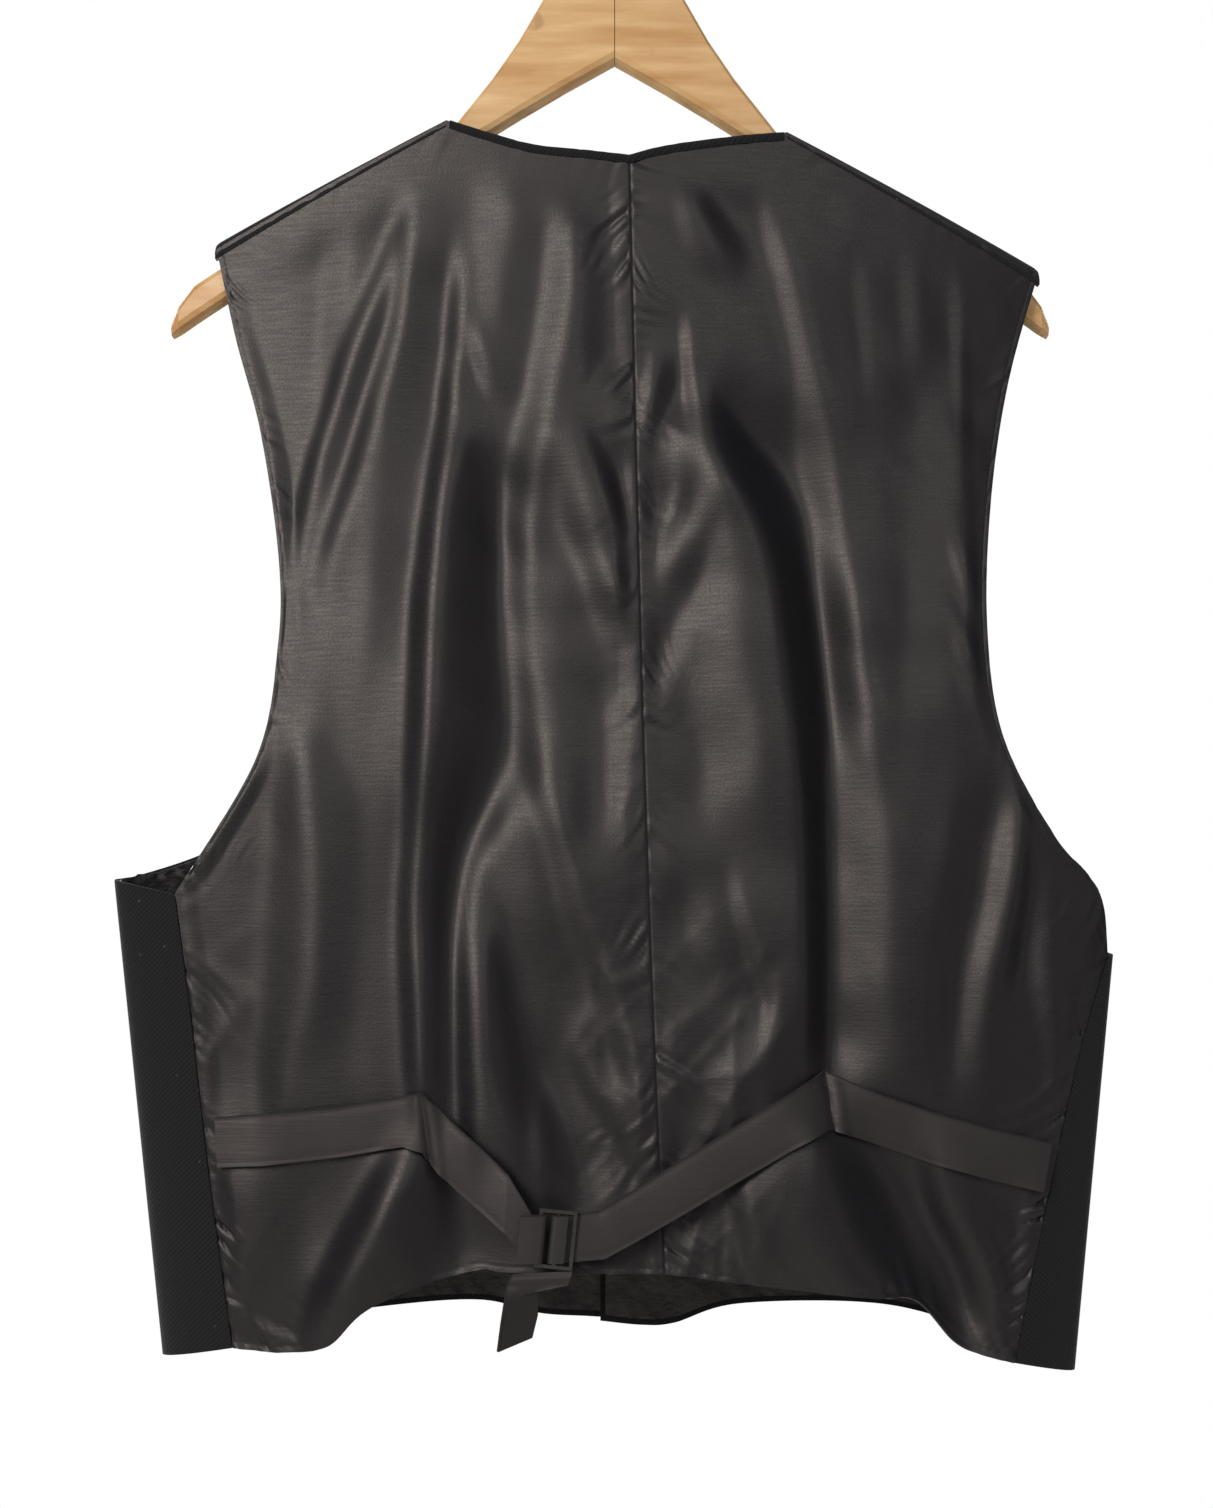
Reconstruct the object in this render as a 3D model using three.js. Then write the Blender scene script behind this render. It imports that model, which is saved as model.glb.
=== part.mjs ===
import * as THREE from "three";

// A western vest on a wooden hanger, seen from its satin back. Millimetres, +Z up, +X to the right of
// somebody who looks at the back, +Y from the back to the fronts. The origin is the inside top of the hook.

// ---- Driving dimensions ----

const WALL = { satin: 1.4, wool: 2.2, lining: 1.0, strap: 1.6 };
const SEAM_GAP = 0.95; // between cut pieces that meet edge to edge
const LINING_GAP = 1.0; // between a front and its lining
const LINING_SHORT = 3; // how far the lining ends inside its front's free edges

const HANGER = { thick: 14, bow: 22, bowAt: 200, reach: { left: 1, right: 0.98 } };
const HOOK = { wire: 3.6, radius: 18, stemFoot: -63.6, stemTop: -50 };

const FRONT_CLOSING_X = 10; // the line that the buttons stand on
const OVERLAP = 17; // how far each front passes that line
const OVERLAP_LIFT = 3; // outer front forward, inner front back
const SHOULDER_SEAM = 5; // how far the back's seam lies below the shoulder line
const SHOULDER_ROLL = { neck: 6, arm: 10.5 }; // height of the fronts' roll over that seam, at its two ends
const NECK_BINDING = 3.4;
const BUTTON = { standOff: 1, zs: [-432, -508, -584, -660] };
const BUCKLE = { x: -26.5, z: -688, width: 17, height: 26, bar: 1.6, thick: 1.5, tilt: 0.1, proud: 12 };

// Half width of the hanging vest at its side folds, as a straight taper: width at the hem, and slope.
const SIDE = {
  left: { hem: 211, hemZ: -740, slope: 0.124 },
  right: { hem: 213.5, hemZ: -753, slope: 0.115 },
};
const ROUNDNESS = 2.3; // power of the flattened oval that the vest makes, seen from above

// Depth of the vest each side of the hanger's plane, by height.
const DEPTHS = [
  { z: -150, back: 11.5, front: 14 },
  { z: -300, back: 15, front: 19 },
  { z: -420, back: 23, front: 28 },
  { z: -540, back: 31, front: 37 },
  { z: -650, back: 38, front: 45 },
  { z: -760, back: 44, front: 51 },
];

// Outlines of the back, x and z, each from its first to its last corner.
const CENTRE_BACK = [[7, -176], [10, -321], [13, -453], [17, -583], [22, -705]];
const BACK = {
  left: {
    neck: [[7, -176], [-14, -173.5], [-39, -170.5], [-61, -164], [-80.5, -157]],
    shoulder: [[-82, -154], [-197, -214]],
    armhole: [
      [-197, -214], [-186, -261], [-172, -310], [-161, -373], [-160, -417], [-169, -471], [-206, -534],
    ],
    seam: [[-206, -534], [-197, -591], [-187, -661], [-174, -740]],
    hem: [[22, -705], [-47, -705], [-64, -704.5], [-109, -719], [-129, -737], [-151, -741.5], [-174, -740]],
  },
  right: {
    neck: [[7, -176], [26, -171], [61, -165.5], [82.5, -163]],
    shoulder: [[84, -160], [210, -226]],
    armhole: [
      [210, -226], [193, -283], [182, -343], [177.5, -405],
      [183, -459], [206, -506], [228, -533], [232, -563],
    ],
    seam: [[232, -563], [217, -607], [200, -672], [182, -747]],
    hem: [[22, -705], [61, -709.5], [114, -715], [136, -718], [154, -737], [166, -743], [182, -747]],
  },
};

// Outlines of the fronts; the corner where the side fold starts is the armhole's last point.
const FRONT = {
  left: {
    neck: [[-82, -154], [-62, -215], [-22, -330], [27, -424]],
    armhole: [
      [-197, -214], [-176, -290], [-152, -380], [-153, -440], [-172, -493], [-198, -513], [-235, -527],
    ],
    hem: [[27, -742], [-10, -740], [-36, -738], [-67, -731], [-118, -734], [-170, -741], [-211, -747]],
  },
  right: {
    neck: [[84, -160], [66, -220], [32, -330], [-7, -424]],
    armhole: [
      [210, -226], [190, -300], [164, -390], [168, -470], [192, -525], [216, -548], [234, -562],
    ],
    hem: [[-7, -741], [13, -743], [29, -742], [60, -733], [130, -732], [180, -744], [213, -754]],
  },
};

// The back's largest folds: a ridge stands out (towards -y), a trough goes in. Each runs from its top
// point to its foot, x bowed sideways at mid-height.
const FOLDS = [
  { top: [-76, -270], foot: [-93, -620], bow: -4, width: 15, rise: 6 },
  { top: [-37, -280], foot: [-2, -590], bow: -22, width: 15, rise: 6 },
  { top: [-62, -350], foot: [-76, -640], bow: 3, width: 13, rise: -6 },
  { top: [52, -300], foot: [98, -730], bow: 14, width: 17, rise: -11 },
  { top: [76, -185], foot: [124, -640], bow: 6, width: 14, rise: 7 },
  { top: [140, -260], foot: [158, -560], bow: 4, width: 20, rise: 4 },
  { top: [-103, -195], foot: [-140, -330], bow: -3, width: 14, rise: 3 },
  { top: [-140, -470], foot: [-150, -760], bow: -2, width: 24, rise: 5 },
  { top: [-45, -520], foot: [-40, -700], bow: 3, width: 14, rise: 4 },
  { top: [160, -620], foot: [166, -770], bow: 2, width: 18, rise: 5 },
];

// The two halves of the waist belt: upper and lower edge at each place, and how far it stands off the back.
const BELT_LEFT = [
  { upper: [-184, -636.5], lower: [-182, -659], off: 3.4 },
  { upper: [-161, -634.5], lower: [-161, -658], off: 3.4 },
  { upper: [-126, -631], lower: [-125, -653.5], off: 3.4 },
  { upper: [-97, -626], lower: [-96, -648.5], off: 3.6 },
  { upper: [-88, -624], lower: [-87, -651], off: 4 },
  { upper: [-76, -635], lower: [-79, -661], off: 6 },
  { upper: [-62, -647], lower: [-65, -673], off: 8.5 },
  { upper: [-48, -660], lower: [-49, -686], off: 10.4 },
];
const BELT_RIGHT = [
  { upper: [201, -648.5], lower: [196, -670.5], off: 3.4 },
  { upper: [172, -641.5], lower: [170, -664], off: 3.4 },
  { upper: [146, -634], lower: [145, -657], off: 3.4 },
  { upper: [121, -625.5], lower: [120, -648.5], off: 3.6 },
  { upper: [96, -615], lower: [97, -641], off: 4 },
  { upper: [70, -629.5], lower: [79, -650], off: 7 },
  { upper: [32, -652], lower: [42, -671], off: 9 },
  { upper: [6, -668], lower: [14, -687], off: 9.6 },
  { upper: [-8, -676], lower: [-5, -697], off: 9.6 },
];

// Half of the hanger, outwards from the joint: upper and lower edge at each distance.
const HANGER_HALF = [
  { x: 0.2, top: -64, foot: -125 },
  { x: 9, top: -64.5, foot: -130 },
  { x: 17, top: -68, foot: -134.5 },
  { x: 25, top: -77, foot: -139 },
  { x: 35, top: -93, foot: -145 },
  { x: 47, top: -114, foot: -152 },
  { x: 60, top: -133, foot: -160 },
  { x: 76, top: -153, foot: -169 },
  { x: 84, top: -163, foot: -174 },
  { x: 120, top: -183, foot: -195 },
  { x: 160, top: -204, foot: -219 },
  { x: 197, top: -223, foot: -241 },
  { x: 209, top: -230, foot: -248 },
  { x: 217, top: -240, foot: -253 },
  { x: 221, top: -249, foot: -255 },
];

// Rows and columns of the cloth grids.
const ROWS = { armhole: 12, seam: 8, roll: 4, neck: 10 };
const COLUMNS = { neck: 5, shoulder: 8, front: 11, wrap: 4, strap: 1 };

// ---- Numbers and curves ----

const lerp = THREE.MathUtils.lerp;
const smooth = THREE.MathUtils.smoothstep;

function spline(rows, count) {
  const curve = new THREE.SplineCurve(rows.map(([x, z]) => new THREE.Vector2(x, z)));
  return curve.getSpacedPoints(count);
}

function joined(first, second) {
  return [...first, ...second.slice(1)];
}

function sideOf(x) {
  return x < FRONT_CLOSING_X ? SIDE.left : SIDE.right;
}

function halfWidth(side, z) {
  return side.hem + side.slope * (z - side.hemZ);
}

function depthAt(z, which) {
  const last = DEPTHS.length - 1;
  const row = DEPTHS.findIndex((entry, i) => i === last || z >= DEPTHS[i + 1].z);
  if (row === last) {
    return DEPTHS[last][which];
  }
  const share = THREE.MathUtils.clamp((DEPTHS[row].z - z) / (DEPTHS[row].z - DEPTHS[row + 1].z), 0, 1);
  return lerp(DEPTHS[row][which], DEPTHS[row + 1][which], share);
}

// The hanger's arms bend forward, and the cloth below them comes back to the middle.
function hangerBow(x) {
  return HANGER.bow * (x / HANGER.bowAt) ** 2;
}

function clothBow(x, z) {
  return hangerBow(Math.min(Math.abs(x), HANGER.bowAt + 10)) * (1 - smooth(-z, 240, 540));
}

// One side of the flattened oval: 1 in the middle, 0 at the side folds.
function oval(x, z) {
  const share = Math.min(Math.abs(x) / halfWidth(sideOf(x), z), 1);
  return (1 - share ** ROUNDNESS) ** (1 / ROUNDNESS);
}

function plainBackY(x, z) {
  return clothBow(x, z) - depthAt(z, "back") * oval(x, z);
}

function plainFrontY(x, z) {
  return clothBow(x, z) + depthAt(z, "front") * oval(x, z);
}

function foldRise(x, z) {
  let rise = 0;
  for (const fold of FOLDS) {
    const share = (fold.top[1] - z) / (fold.top[1] - fold.foot[1]);
    const ends = smooth(share, -0.08, 0.22) * (1 - smooth(share, 0.85, 1.1));
    const along = THREE.MathUtils.clamp(share, 0, 1);
    const centre = lerp(fold.top[0], fold.foot[0], along) + fold.bow * Math.sin(Math.PI * along);
    rise += fold.rise * ends * Math.exp(-(((x - centre) / fold.width) ** 2));
  }
  return rise;
}

// ---- Meshes ----

const parts = new THREE.Group();

function addPart(name, geometry, colour, roughness, metalness = 0) {
  const material = new THREE.MeshStandardMaterial({ color: colour, roughness, metalness });
  const mesh = new THREE.Mesh(geometry, material);
  mesh.name = name;
  parts.add(mesh);
  return mesh;
}

function solidFrom(positions, triangles) {
  let volume = 0;
  const corner = new THREE.Vector3();
  for (const [a, b, c] of triangles) {
    volume += positions[a].dot(corner.crossVectors(positions[b], positions[c]));
  }
  const outward = volume < 0 ? triangles.map(([a, b, c]) => [a, c, b]) : triangles;
  const numbers = positions.flatMap((point) => point.toArray());
  const geometry = new THREE.BufferGeometry();
  geometry.setAttribute("position", new THREE.Float32BufferAttribute(numbers, 3));
  geometry.setIndex(outward.flat());
  geometry.computeVertexNormals();
  return geometry;
}

// Normals of a grid of points, from its neighbours along both ways; empty places stay empty.
function gridNormals(grid) {
  const at = (i, j) => (grid[i] && grid[i][j]) || null;
  return grid.map((row, i) =>
    row.map((point, j) => {
      if (!point) {
        return null;
      }
      const along = new THREE.Vector3().subVectors(at(i, j + 1) || point, at(i, j - 1) || point);
      const down = new THREE.Vector3().subVectors(at(i + 1, j) || point, at(i - 1, j) || point);
      return along.cross(down).normalize();
    })
  );
}

// A wall of even thickness on a grid of mid-surface points, closed all round and round its open cells.
function wallFrom(grid, thickness, isOpen = () => false, normals = gridNormals(grid)) {
  const positions = [];
  const ids = [1, -1].map((side) =>
    grid.map((row, i) =>
      row.map((point, j) => {
        if (!point) {
          return -1;
        }
        positions.push(point.clone().addScaledVector(normals[i][j], (side * thickness) / 2));
        return positions.length - 1;
      })
    )
  );
  const triangles = [];
  const edges = new Map();
  const addEdge = (a, b) => {
    const key = `${b[0]},${b[1]},${a[0]},${a[1]}`;
    if (!edges.delete(key)) {
      edges.set(`${a[0]},${a[1]},${b[0]},${b[1]}`, [a, b]);
    }
  };
  for (let i = 0; i + 1 < grid.length; i += 1) {
    for (let j = 0; j + 1 < grid[i].length; j += 1) {
      const cell = [[i, j], [i, j + 1], [i + 1, j + 1], [i + 1, j]];
      if (isOpen(i, j) || cell.some(([r, c]) => !grid[r][c])) {
        continue;
      }
      const [a, b, c, d] = cell.map(([r, k]) => ids[0][r][k]);
      const [e, f, g, h] = cell.map(([r, k]) => ids[1][r][k]);
      triangles.push([a, b, c], [a, c, d], [e, g, f], [e, h, g]);
      cell.forEach((start, k) => addEdge(start, cell[(k + 1) % 4]));
    }
  }
  for (const [[i, j], [k, l]] of edges.values()) {
    const [a, b, c, d] = [ids[0][i][j], ids[0][k][l], ids[1][k][l], ids[1][i][j]];
    triangles.push([a, c, b], [a, d, c]);
  }
  return solidFrom(positions, triangles);
}

// A solid through rings of points with the same count, closed at both ends.
function loft(rings) {
  const positions = rings.flat();
  const count = rings[0].length;
  const triangles = [];
  for (let i = 0; i + 1 < rings.length; i += 1) {
    for (let j = 0; j < count; j += 1) {
      const a = i * count + j;
      const b = i * count + ((j + 1) % count);
      triangles.push([a, b, b + count], [a, b + count, a + count]);
    }
  }
  const last = (rings.length - 1) * count;
  for (let j = 1; j + 1 < count; j += 1) {
    triangles.push([0, j + 1, j], [last, last + j, last + j + 1]);
  }
  return solidFrom(positions, triangles);
}

// The patch between four edges: the two lofts across it, less the flat one through its corners.
function patch(top, foot, inner, outer) {
  const rows = inner.length - 1;
  const columns = top.length - 1;
  const mix = (a, b, share) => a.clone().lerp(b, share);
  return inner.map((innerPoint, i) =>
    top.map((topPoint, j) => {
      const v = i / rows;
      const u = j / columns;
      const across = mix(innerPoint, outer[i], u);
      const down = mix(topPoint, foot[j], v);
      const flat = mix(mix(top[0], top[columns], u), mix(foot[0], foot[columns], u), v);
      return across.add(down).sub(flat);
    })
  );
}

function shift(rows, dx, dz) {
  return rows.map(([x, z]) => [x + dx, z + dz]);
}

// ---- The two halves of the satin back ----

function backGrid(name) {
  const outline = BACK[name];
  const sign = name === "left" ? -1 : 1;
  const neck = spline(shift(outline.neck, 0, -NECK_BINDING - SEAM_GAP), COLUMNS.neck);
  const shoulderDrop = SHOULDER_SEAM + WALL.satin + SEAM_GAP;
  const shoulder = spline(shift(outline.shoulder, 0, -shoulderDrop), COLUMNS.shoulder);
  neck[neck.length - 1].copy(shoulder[0]);
  const armhole = spline(outline.armhole, ROWS.armhole);
  armhole[0].copy(shoulder[shoulder.length - 1]);
  const seam = spline(shift(outline.seam, -sign * SEAM_GAP, 0), ROWS.seam);
  armhole[armhole.length - 1].copy(seam[0]);
  const centre = spline(shift(CENTRE_BACK, sign * SEAM_GAP * 0.5, 0), ROWS.armhole + ROWS.seam);
  centre[0].copy(neck[0]);
  centre[0].x += sign * SEAM_GAP * 0.5;
  neck[0].copy(centre[0]);
  const hem = spline(outline.hem, COLUMNS.neck + COLUMNS.shoulder);
  hem[0].copy(centre[centre.length - 1]);
  hem[hem.length - 1].copy(seam[seam.length - 1]);
  return patch(joined(neck, shoulder), hem, centre, joined(armhole, seam));
}

function backPoints(name) {
  const flat = backGrid(name);
  const rows = flat.length - 1;
  const columns = flat[0].length - 1;
  return flat.map((row, i) =>
    row.map(({ x, y: z }, j) => {
      const fade = (1 - smooth(j / columns, 0.8, 0.97)) * smooth(i / rows, 0, 0.1);
      return new THREE.Vector3(x, plainBackY(x, z) - foldRise(x, z) * fade, z);
    })
  );
}

for (const name of ["left", "right"]) {
  addPart(`back_${name}`, wallFrom(backPoints(name), WALL.satin), 0x4a4546, 0.38);
}

// ---- The bound edge of the back neck ----

function neckBinding() {
  const left = spline(BACK.left.neck, 7).reverse();
  const line = joined(left, spline(BACK.right.neck, 7));
  const rows = [0.3, NECK_BINDING].map((drop) =>
    line.map(({ x, y: z }) => new THREE.Vector3(x, plainBackY(x, z), z - drop))
  );
  return wallFrom(rows, WALL.wool);
}

addPart("neck_binding", neckBinding(), 0x1a191c, 0.85);

// ---- The wool fronts, from the closing edge round the side fold to the back's seam ----

function frontFlat(name) {
  const outline = FRONT[name];
  const side = SIDE[name];
  const sign = name === "left" ? -1 : 1;
  const shoulder = spline(shift(BACK[name].shoulder, 0, -SHOULDER_SEAM - 1), COLUMNS.front);
  const armhole = spline(outline.armhole, ROWS.armhole);
  armhole[0].copy(shoulder[shoulder.length - 1]);
  const foldTop = outline.armhole.at(-1)[1];
  const hemFold = outline.hem.at(-1)[1];
  const fold = [];
  for (let i = 0; i <= ROWS.seam; i += 1) {
    const z = lerp(foldTop, hemFold, i / ROWS.seam);
    fold.push(new THREE.Vector2(sign * halfWidth(side, z), z));
  }
  armhole[armhole.length - 1].copy(fold[0]);
  const neckEnd = outline.neck.at(-1);
  const neck = spline(outline.neck, ROWS.neck);
  neck[0].copy(shoulder[0]);
  const edge = spline([neckEnd, outline.hem[0]], ROWS.armhole + ROWS.seam - ROWS.neck);
  const hem = spline(outline.hem, COLUMNS.front);
  hem[0].copy(edge[edge.length - 1]);
  hem[hem.length - 1].copy(fold[fold.length - 1]);
  return patch(shoulder, hem, joined(neck, edge), joined(armhole, fold));
}

function overlapLift(name, x) {
  const near = 1 - smooth(Math.abs(x - FRONT_CLOSING_X), OVERLAP + 8, OVERLAP + 40);
  return (name === "left" ? OVERLAP_LIFT : -OVERLAP_LIFT) * near;
}

// Grid rows: the roll over the shoulder from the back's seam, then the front, with the stretch that
// passes the side fold as extra columns below the armhole.
function frontPoints(name) {
  const flat = frontFlat(name);
  const seam = spline(BACK[name].seam, ROWS.seam);
  const rows = flat.map((row, i) => {
    const frontY = (x, z) => plainFrontY(x, z) + overlapLift(name, x);
    const points = row.map(({ x, y: z }) => new THREE.Vector3(x, frontY(x, z), z));
    for (let j = 1; j <= COLUMNS.wrap; j += 1) {
      if (i < ROWS.armhole) {
        points.push(null);
        continue;
      }
      const end = seam[i - ROWS.armhole];
      const start = row[row.length - 1];
      const turn = 1 - Math.cos((Math.PI / 2) * (j / COLUMNS.wrap));
      const x = lerp(start.x, end.x, turn);
      const z = lerp(start.y, end.y, turn);
      points.push(new THREE.Vector3(x, plainBackY(x, z), z));
    }
    return points;
  });
  const roll = [];
  for (let i = 0; i < ROWS.roll; i += 1) {
    const angle = (Math.PI * i) / ROWS.roll;
    roll.push(
      rows[0].map((point, j) => {
        if (!point) {
          return null;
        }
        const height = lerp(SHOULDER_ROLL.neck, SHOULDER_ROLL.arm, j / COLUMNS.front);
        const backY = plainBackY(point.x, point.z);
        const y = lerp(backY, point.y, (1 - Math.cos(angle)) / 2);
        return new THREE.Vector3(point.x, y, point.z + height * Math.sin(angle));
      })
    );
  }
  const all = [...roll, ...rows];
  return name === "left" ? all : all.map((row) => [...row].reverse());
}

// The front's normals: those of the oval itself, straight out at the side fold, and the grid's past it.
function frontNormals(grid) {
  const step = 0.5;
  return gridNormals(grid).map((row, i) =>
    row.map((normal, j) => {
      const point = grid[i][j];
      if (!point || Math.abs(plainFrontY(point.x, point.z) - point.y) > OVERLAP_LIFT + 0.01) {
        return normal;
      }
      if (Math.abs(point.x) > 0.985 * halfWidth(sideOf(point.x), point.z)) {
        return new THREE.Vector3(Math.sign(normal.x), 0, 0);
      }
      const { x, z } = point;
      const slopeX = (plainFrontY(x + step, z) - plainFrontY(x - step, z)) / (2 * step);
      const slopeZ = (plainFrontY(x, z + step) - plainFrontY(x, z - step)) / (2 * step);
      const exact = new THREE.Vector3(-slopeX, 1, -slopeZ).normalize();
      return exact.dot(normal) < 0 ? exact.negate() : exact;
    })
  );
}

// The lining lies inside its front, level with it down the armhole, a little short of its other edges, and
// one column short of the tight turn under the arm.
function liningPoints(name) {
  const grid = frontPoints(name).slice(ROWS.roll);
  const normals = frontNormals(grid);
  const inward = WALL.wool / 2 + LINING_GAP + WALL.lining / 2;
  const at = (i, j) => (grid[i] && grid[i][j]) || null;
  const underarm = (i) => i > ROWS.armhole - 5 && i < ROWS.armhole;
  return grid.map((row, i) =>
    row.map((point, j) => {
      if (!point) {
        return null;
      }
      const moved = point.clone();
      for (const [back, on] of [[at(i - 1, j), at(i + 1, j)], [at(i, j - 1), at(i, j + 1)]]) {
        const inner = back || on;
        const atArmhole = (!back || !on) && i < ROWS.armhole && Math.abs(inner.x) < Math.abs(point.x);
        if (atArmhole && underarm(i)) {
          return null;
        }
        if ((!back || !on) && !atArmhole) {
          const step = point.distanceTo(inner);
          moved.add(inner.clone().sub(point).multiplyScalar(Math.min(LINING_SHORT / step, 0.7)));
        }
      }
      const normal = normals[i][j];
      const facesIn = normal.dot(new THREE.Vector3(0, 0, point.z).sub(point)) > 0;
      return moved.addScaledVector(normal, facesIn ? inward : -inward);
    })
  );
}

for (const name of ["left", "right"]) {
  const grid = frontPoints(name);
  const front = wallFrom(grid, WALL.wool, undefined, frontNormals(grid));
  addPart(`front_${name}`, front, 0x1c1a1d, 0.9);
  addPart(`lining_${name}`, wallFrom(liningPoints(name), WALL.lining), 0x26242a, 0.35);
}

// ---- Buttons on the outer front ----

// Half section of a button, radius and height: flat back, raised rim, sunk middle.
const buttonProfile = [[0, 0], [8.2, 0], [9, 0.9], [9, 2.6], [8.2, 3.4], [6.6, 3.1], [6, 2.6], [0, 2.6]];

BUTTON.zs.forEach((z, i) => {
  const profile = buttonProfile.map(([radius, height]) => new THREE.Vector2(radius, height));
  const button = addPart(`button_${i + 1}`, new THREE.LatheGeometry(profile, 14), 0x17161a, 0.4);
  const face = plainFrontY(FRONT_CLOSING_X, z) + OVERLAP_LIFT + WALL.wool / 2;
  button.position.set(FRONT_CLOSING_X, face + BUTTON.standOff, z);
});

// ---- The belt: two straps sewn into the side seams, tacked to the back, and a slide buckle ----

// A row across the strap from its upper to its lower edge, at one depth or following the back.
function strapRow(upper, lower, depth) {
  const row = [];
  for (let j = 0; j <= COLUMNS.strap; j += 1) {
    const x = lerp(upper[0], lower[0], j / COLUMNS.strap);
    const z = lerp(upper[1], lower[1], j / COLUMNS.strap);
    row.push(new THREE.Vector3(x, depth(x, z), z));
  }
  return row;
}

// Between its named places the strap is divided evenly, and it clears every fold it crosses.
function beltRows(places, steps) {
  const rows = [];
  for (let i = 0; i + 1 < places.length; i += 1) {
    const [from, to] = [places[i], places[i + 1]];
    const lastPiece = i + 2 === places.length;
    for (let k = 0; k < steps + (lastPiece ? 1 : 0); k += 1) {
      const share = k / steps;
      const mix = (a, b) => [lerp(a[0], b[0], share), lerp(a[1], b[1], share)];
      const off = lerp(from.off, to.off, share);
      const held = 1 - smooth(off, 4, 9);
      const depth = (x, z) => plainBackY(x, z) - foldRise(x, z) * held - off;
      rows.push(strapRow(mix(from.upper, to.upper), mix(from.lower, to.lower), depth));
    }
  }
  return rows;
}

const buckleY = plainBackY(BUCKLE.x, BUCKLE.z) - BUCKLE.proud;
const barClear = BUCKLE.thick / 2 + 0.4 + WALL.strap / 2;

// The left strap turns round the outer bar, and the right one passes it and turns round the middle bar.
const TURNS = {
  left: { sign: -1, barX: BUCKLE.x - (BUCKLE.width - BUCKLE.bar) / 2, end: 9 },
  right: { sign: 1, barX: BUCKLE.x, end: 4.5 },
};

// The end of a strap: in behind a bar, round it through the slot, and back over its front.
function aroundBar({ sign, barX, end }) {
  const half = BUCKLE.height / 2 - BUCKLE.bar - 1.05;
  const turn = [];
  for (let k = 0; k <= 6; k += 1) {
    const angle = (Math.PI * k) / 6;
    turn.push([barX - sign * (0.4 + barClear * Math.sin(angle)), buckleY + barClear * Math.cos(angle)]);
  }
  const path = [[barX + sign * 4, buckleY + barClear], ...turn, [barX + sign * end, buckleY - barClear]];
  return path.map(([x, y]) => {
    const lean = Math.tan(BUCKLE.tilt);
    const upper = [x + half * lean, BUCKLE.z + half];
    const lower = [x - half * lean, BUCKLE.z - half];
    return strapRow(upper, lower, () => y);
  });
}

for (const [name, places] of [["left", BELT_LEFT], ["right", BELT_RIGHT]]) {
  const rows = [...beltRows(places, 3), ...aroundBar(TURNS[name])];
  addPart(`belt_${name}`, wallFrom(rows, WALL.strap), 0x2a282d, 0.5);
}

// The free end leaves the buckle folded flat along its foot, and hangs half turned.
const TAIL = [
  { left: [-46, -703.5], right: [-19, -702], turn: 0 },
  { left: [-48.5, -708], right: [-21, -707.5], turn: 1 },
  { left: [-49, -714], right: [-35, -711], turn: 5 },
  { left: [-50.5, -724], right: [-35, -722], turn: 6 },
  { left: [-52, -736], right: [-37.5, -732], turn: 6 },
];
const tailRows = TAIL.map(({ left, right, turn }) => [
  new THREE.Vector3(left[0], buckleY - turn, left[1]),
  new THREE.Vector3((left[0] + right[0]) / 2, buckleY, (left[1] + right[1]) / 2),
  new THREE.Vector3(right[0], buckleY + turn, right[1]),
]);
addPart("belt_tail", wallFrom(tailRows, WALL.strap), 0x2a282d, 0.5);

// The frame is a plate with a slot each side of its middle bar.
function buckleFrame() {
  const { width, height, bar, thick } = BUCKLE;
  const xs = [-width / 2, bar - width / 2, -bar / 2, bar / 2, width / 2 - bar, width / 2];
  const zs = [height / 2, height / 2 - bar, bar - height / 2, -height / 2];
  const grid = zs.map((z) => xs.map((x) => new THREE.Vector3(x, 0, z)));
  return wallFrom(grid, thick, (i, j) => i === 1 && (j === 1 || j === 3)).rotateY(BUCKLE.tilt);
}

addPart("buckle", buckleFrame(), 0x8c8c90, 0.3, 1).position.set(BUCKLE.x, buckleY, BUCKLE.z);

// ---- The hanger: two bent halves that meet at a joint, and its hook ----

function hangerRing({ x, top, foot }, reach) {
  const half = Math.min(HANGER.thick / 2, (top - foot) / 2 + 2);
  const round = Math.min(4, (top - foot) / 2.5);
  const ring = [];
  for (const [sy, z, dz] of [[-1, top, -1], [1, top, -1], [1, foot, 1], [-1, foot, 1]]) {
    const turns = dz * sy > 0 ? [0, 0.5, 1] : [1, 0.5, 0];
    for (const turn of turns) {
      const angle = (turn * Math.PI) / 2;
      const y = sy * (half - round * (1 - Math.cos(angle)));
      ring.push(new THREE.Vector3(reach * x, hangerBow(x) + y, z + dz * round * (1 - Math.sin(angle))));
    }
  }
  return ring;
}

for (const [name, sign] of [["left", -1], ["right", 1]]) {
  const reach = sign * HANGER.reach[name];
  addPart(`hanger_${name}`, loft(HANGER_HALF.map((row) => hangerRing(row, reach))), 0xd9a566, 0.45);
}

function hookPath() {
  const centreZ = HOOK.wire / 2 - HOOK.radius;
  const points = [[0, HOOK.stemFoot], [0, HOOK.stemTop - 5], [1.5, -44], [8, -34.5], [15.2, -26]];
  for (let degrees = 0; degrees <= 195; degrees += 15) {
    const angle = THREE.MathUtils.degToRad(degrees);
    points.push([HOOK.radius * Math.cos(angle), centreZ + HOOK.radius * Math.sin(angle)]);
  }
  return new THREE.CatmullRomCurve3(points.map(([x, z]) => new THREE.Vector3(x, 0, z)));
}

const wire = new THREE.Shape(new THREE.EllipseCurve(0, 0, HOOK.wire / 2, HOOK.wire / 2).getPoints(8));
const hook = new THREE.ExtrudeGeometry(wire, { steps: 32, extrudePath: hookPath() });
addPart("hook", hook, 0xb8b8bc, 0.25, 1);

export default parts;
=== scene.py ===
import math

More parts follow.
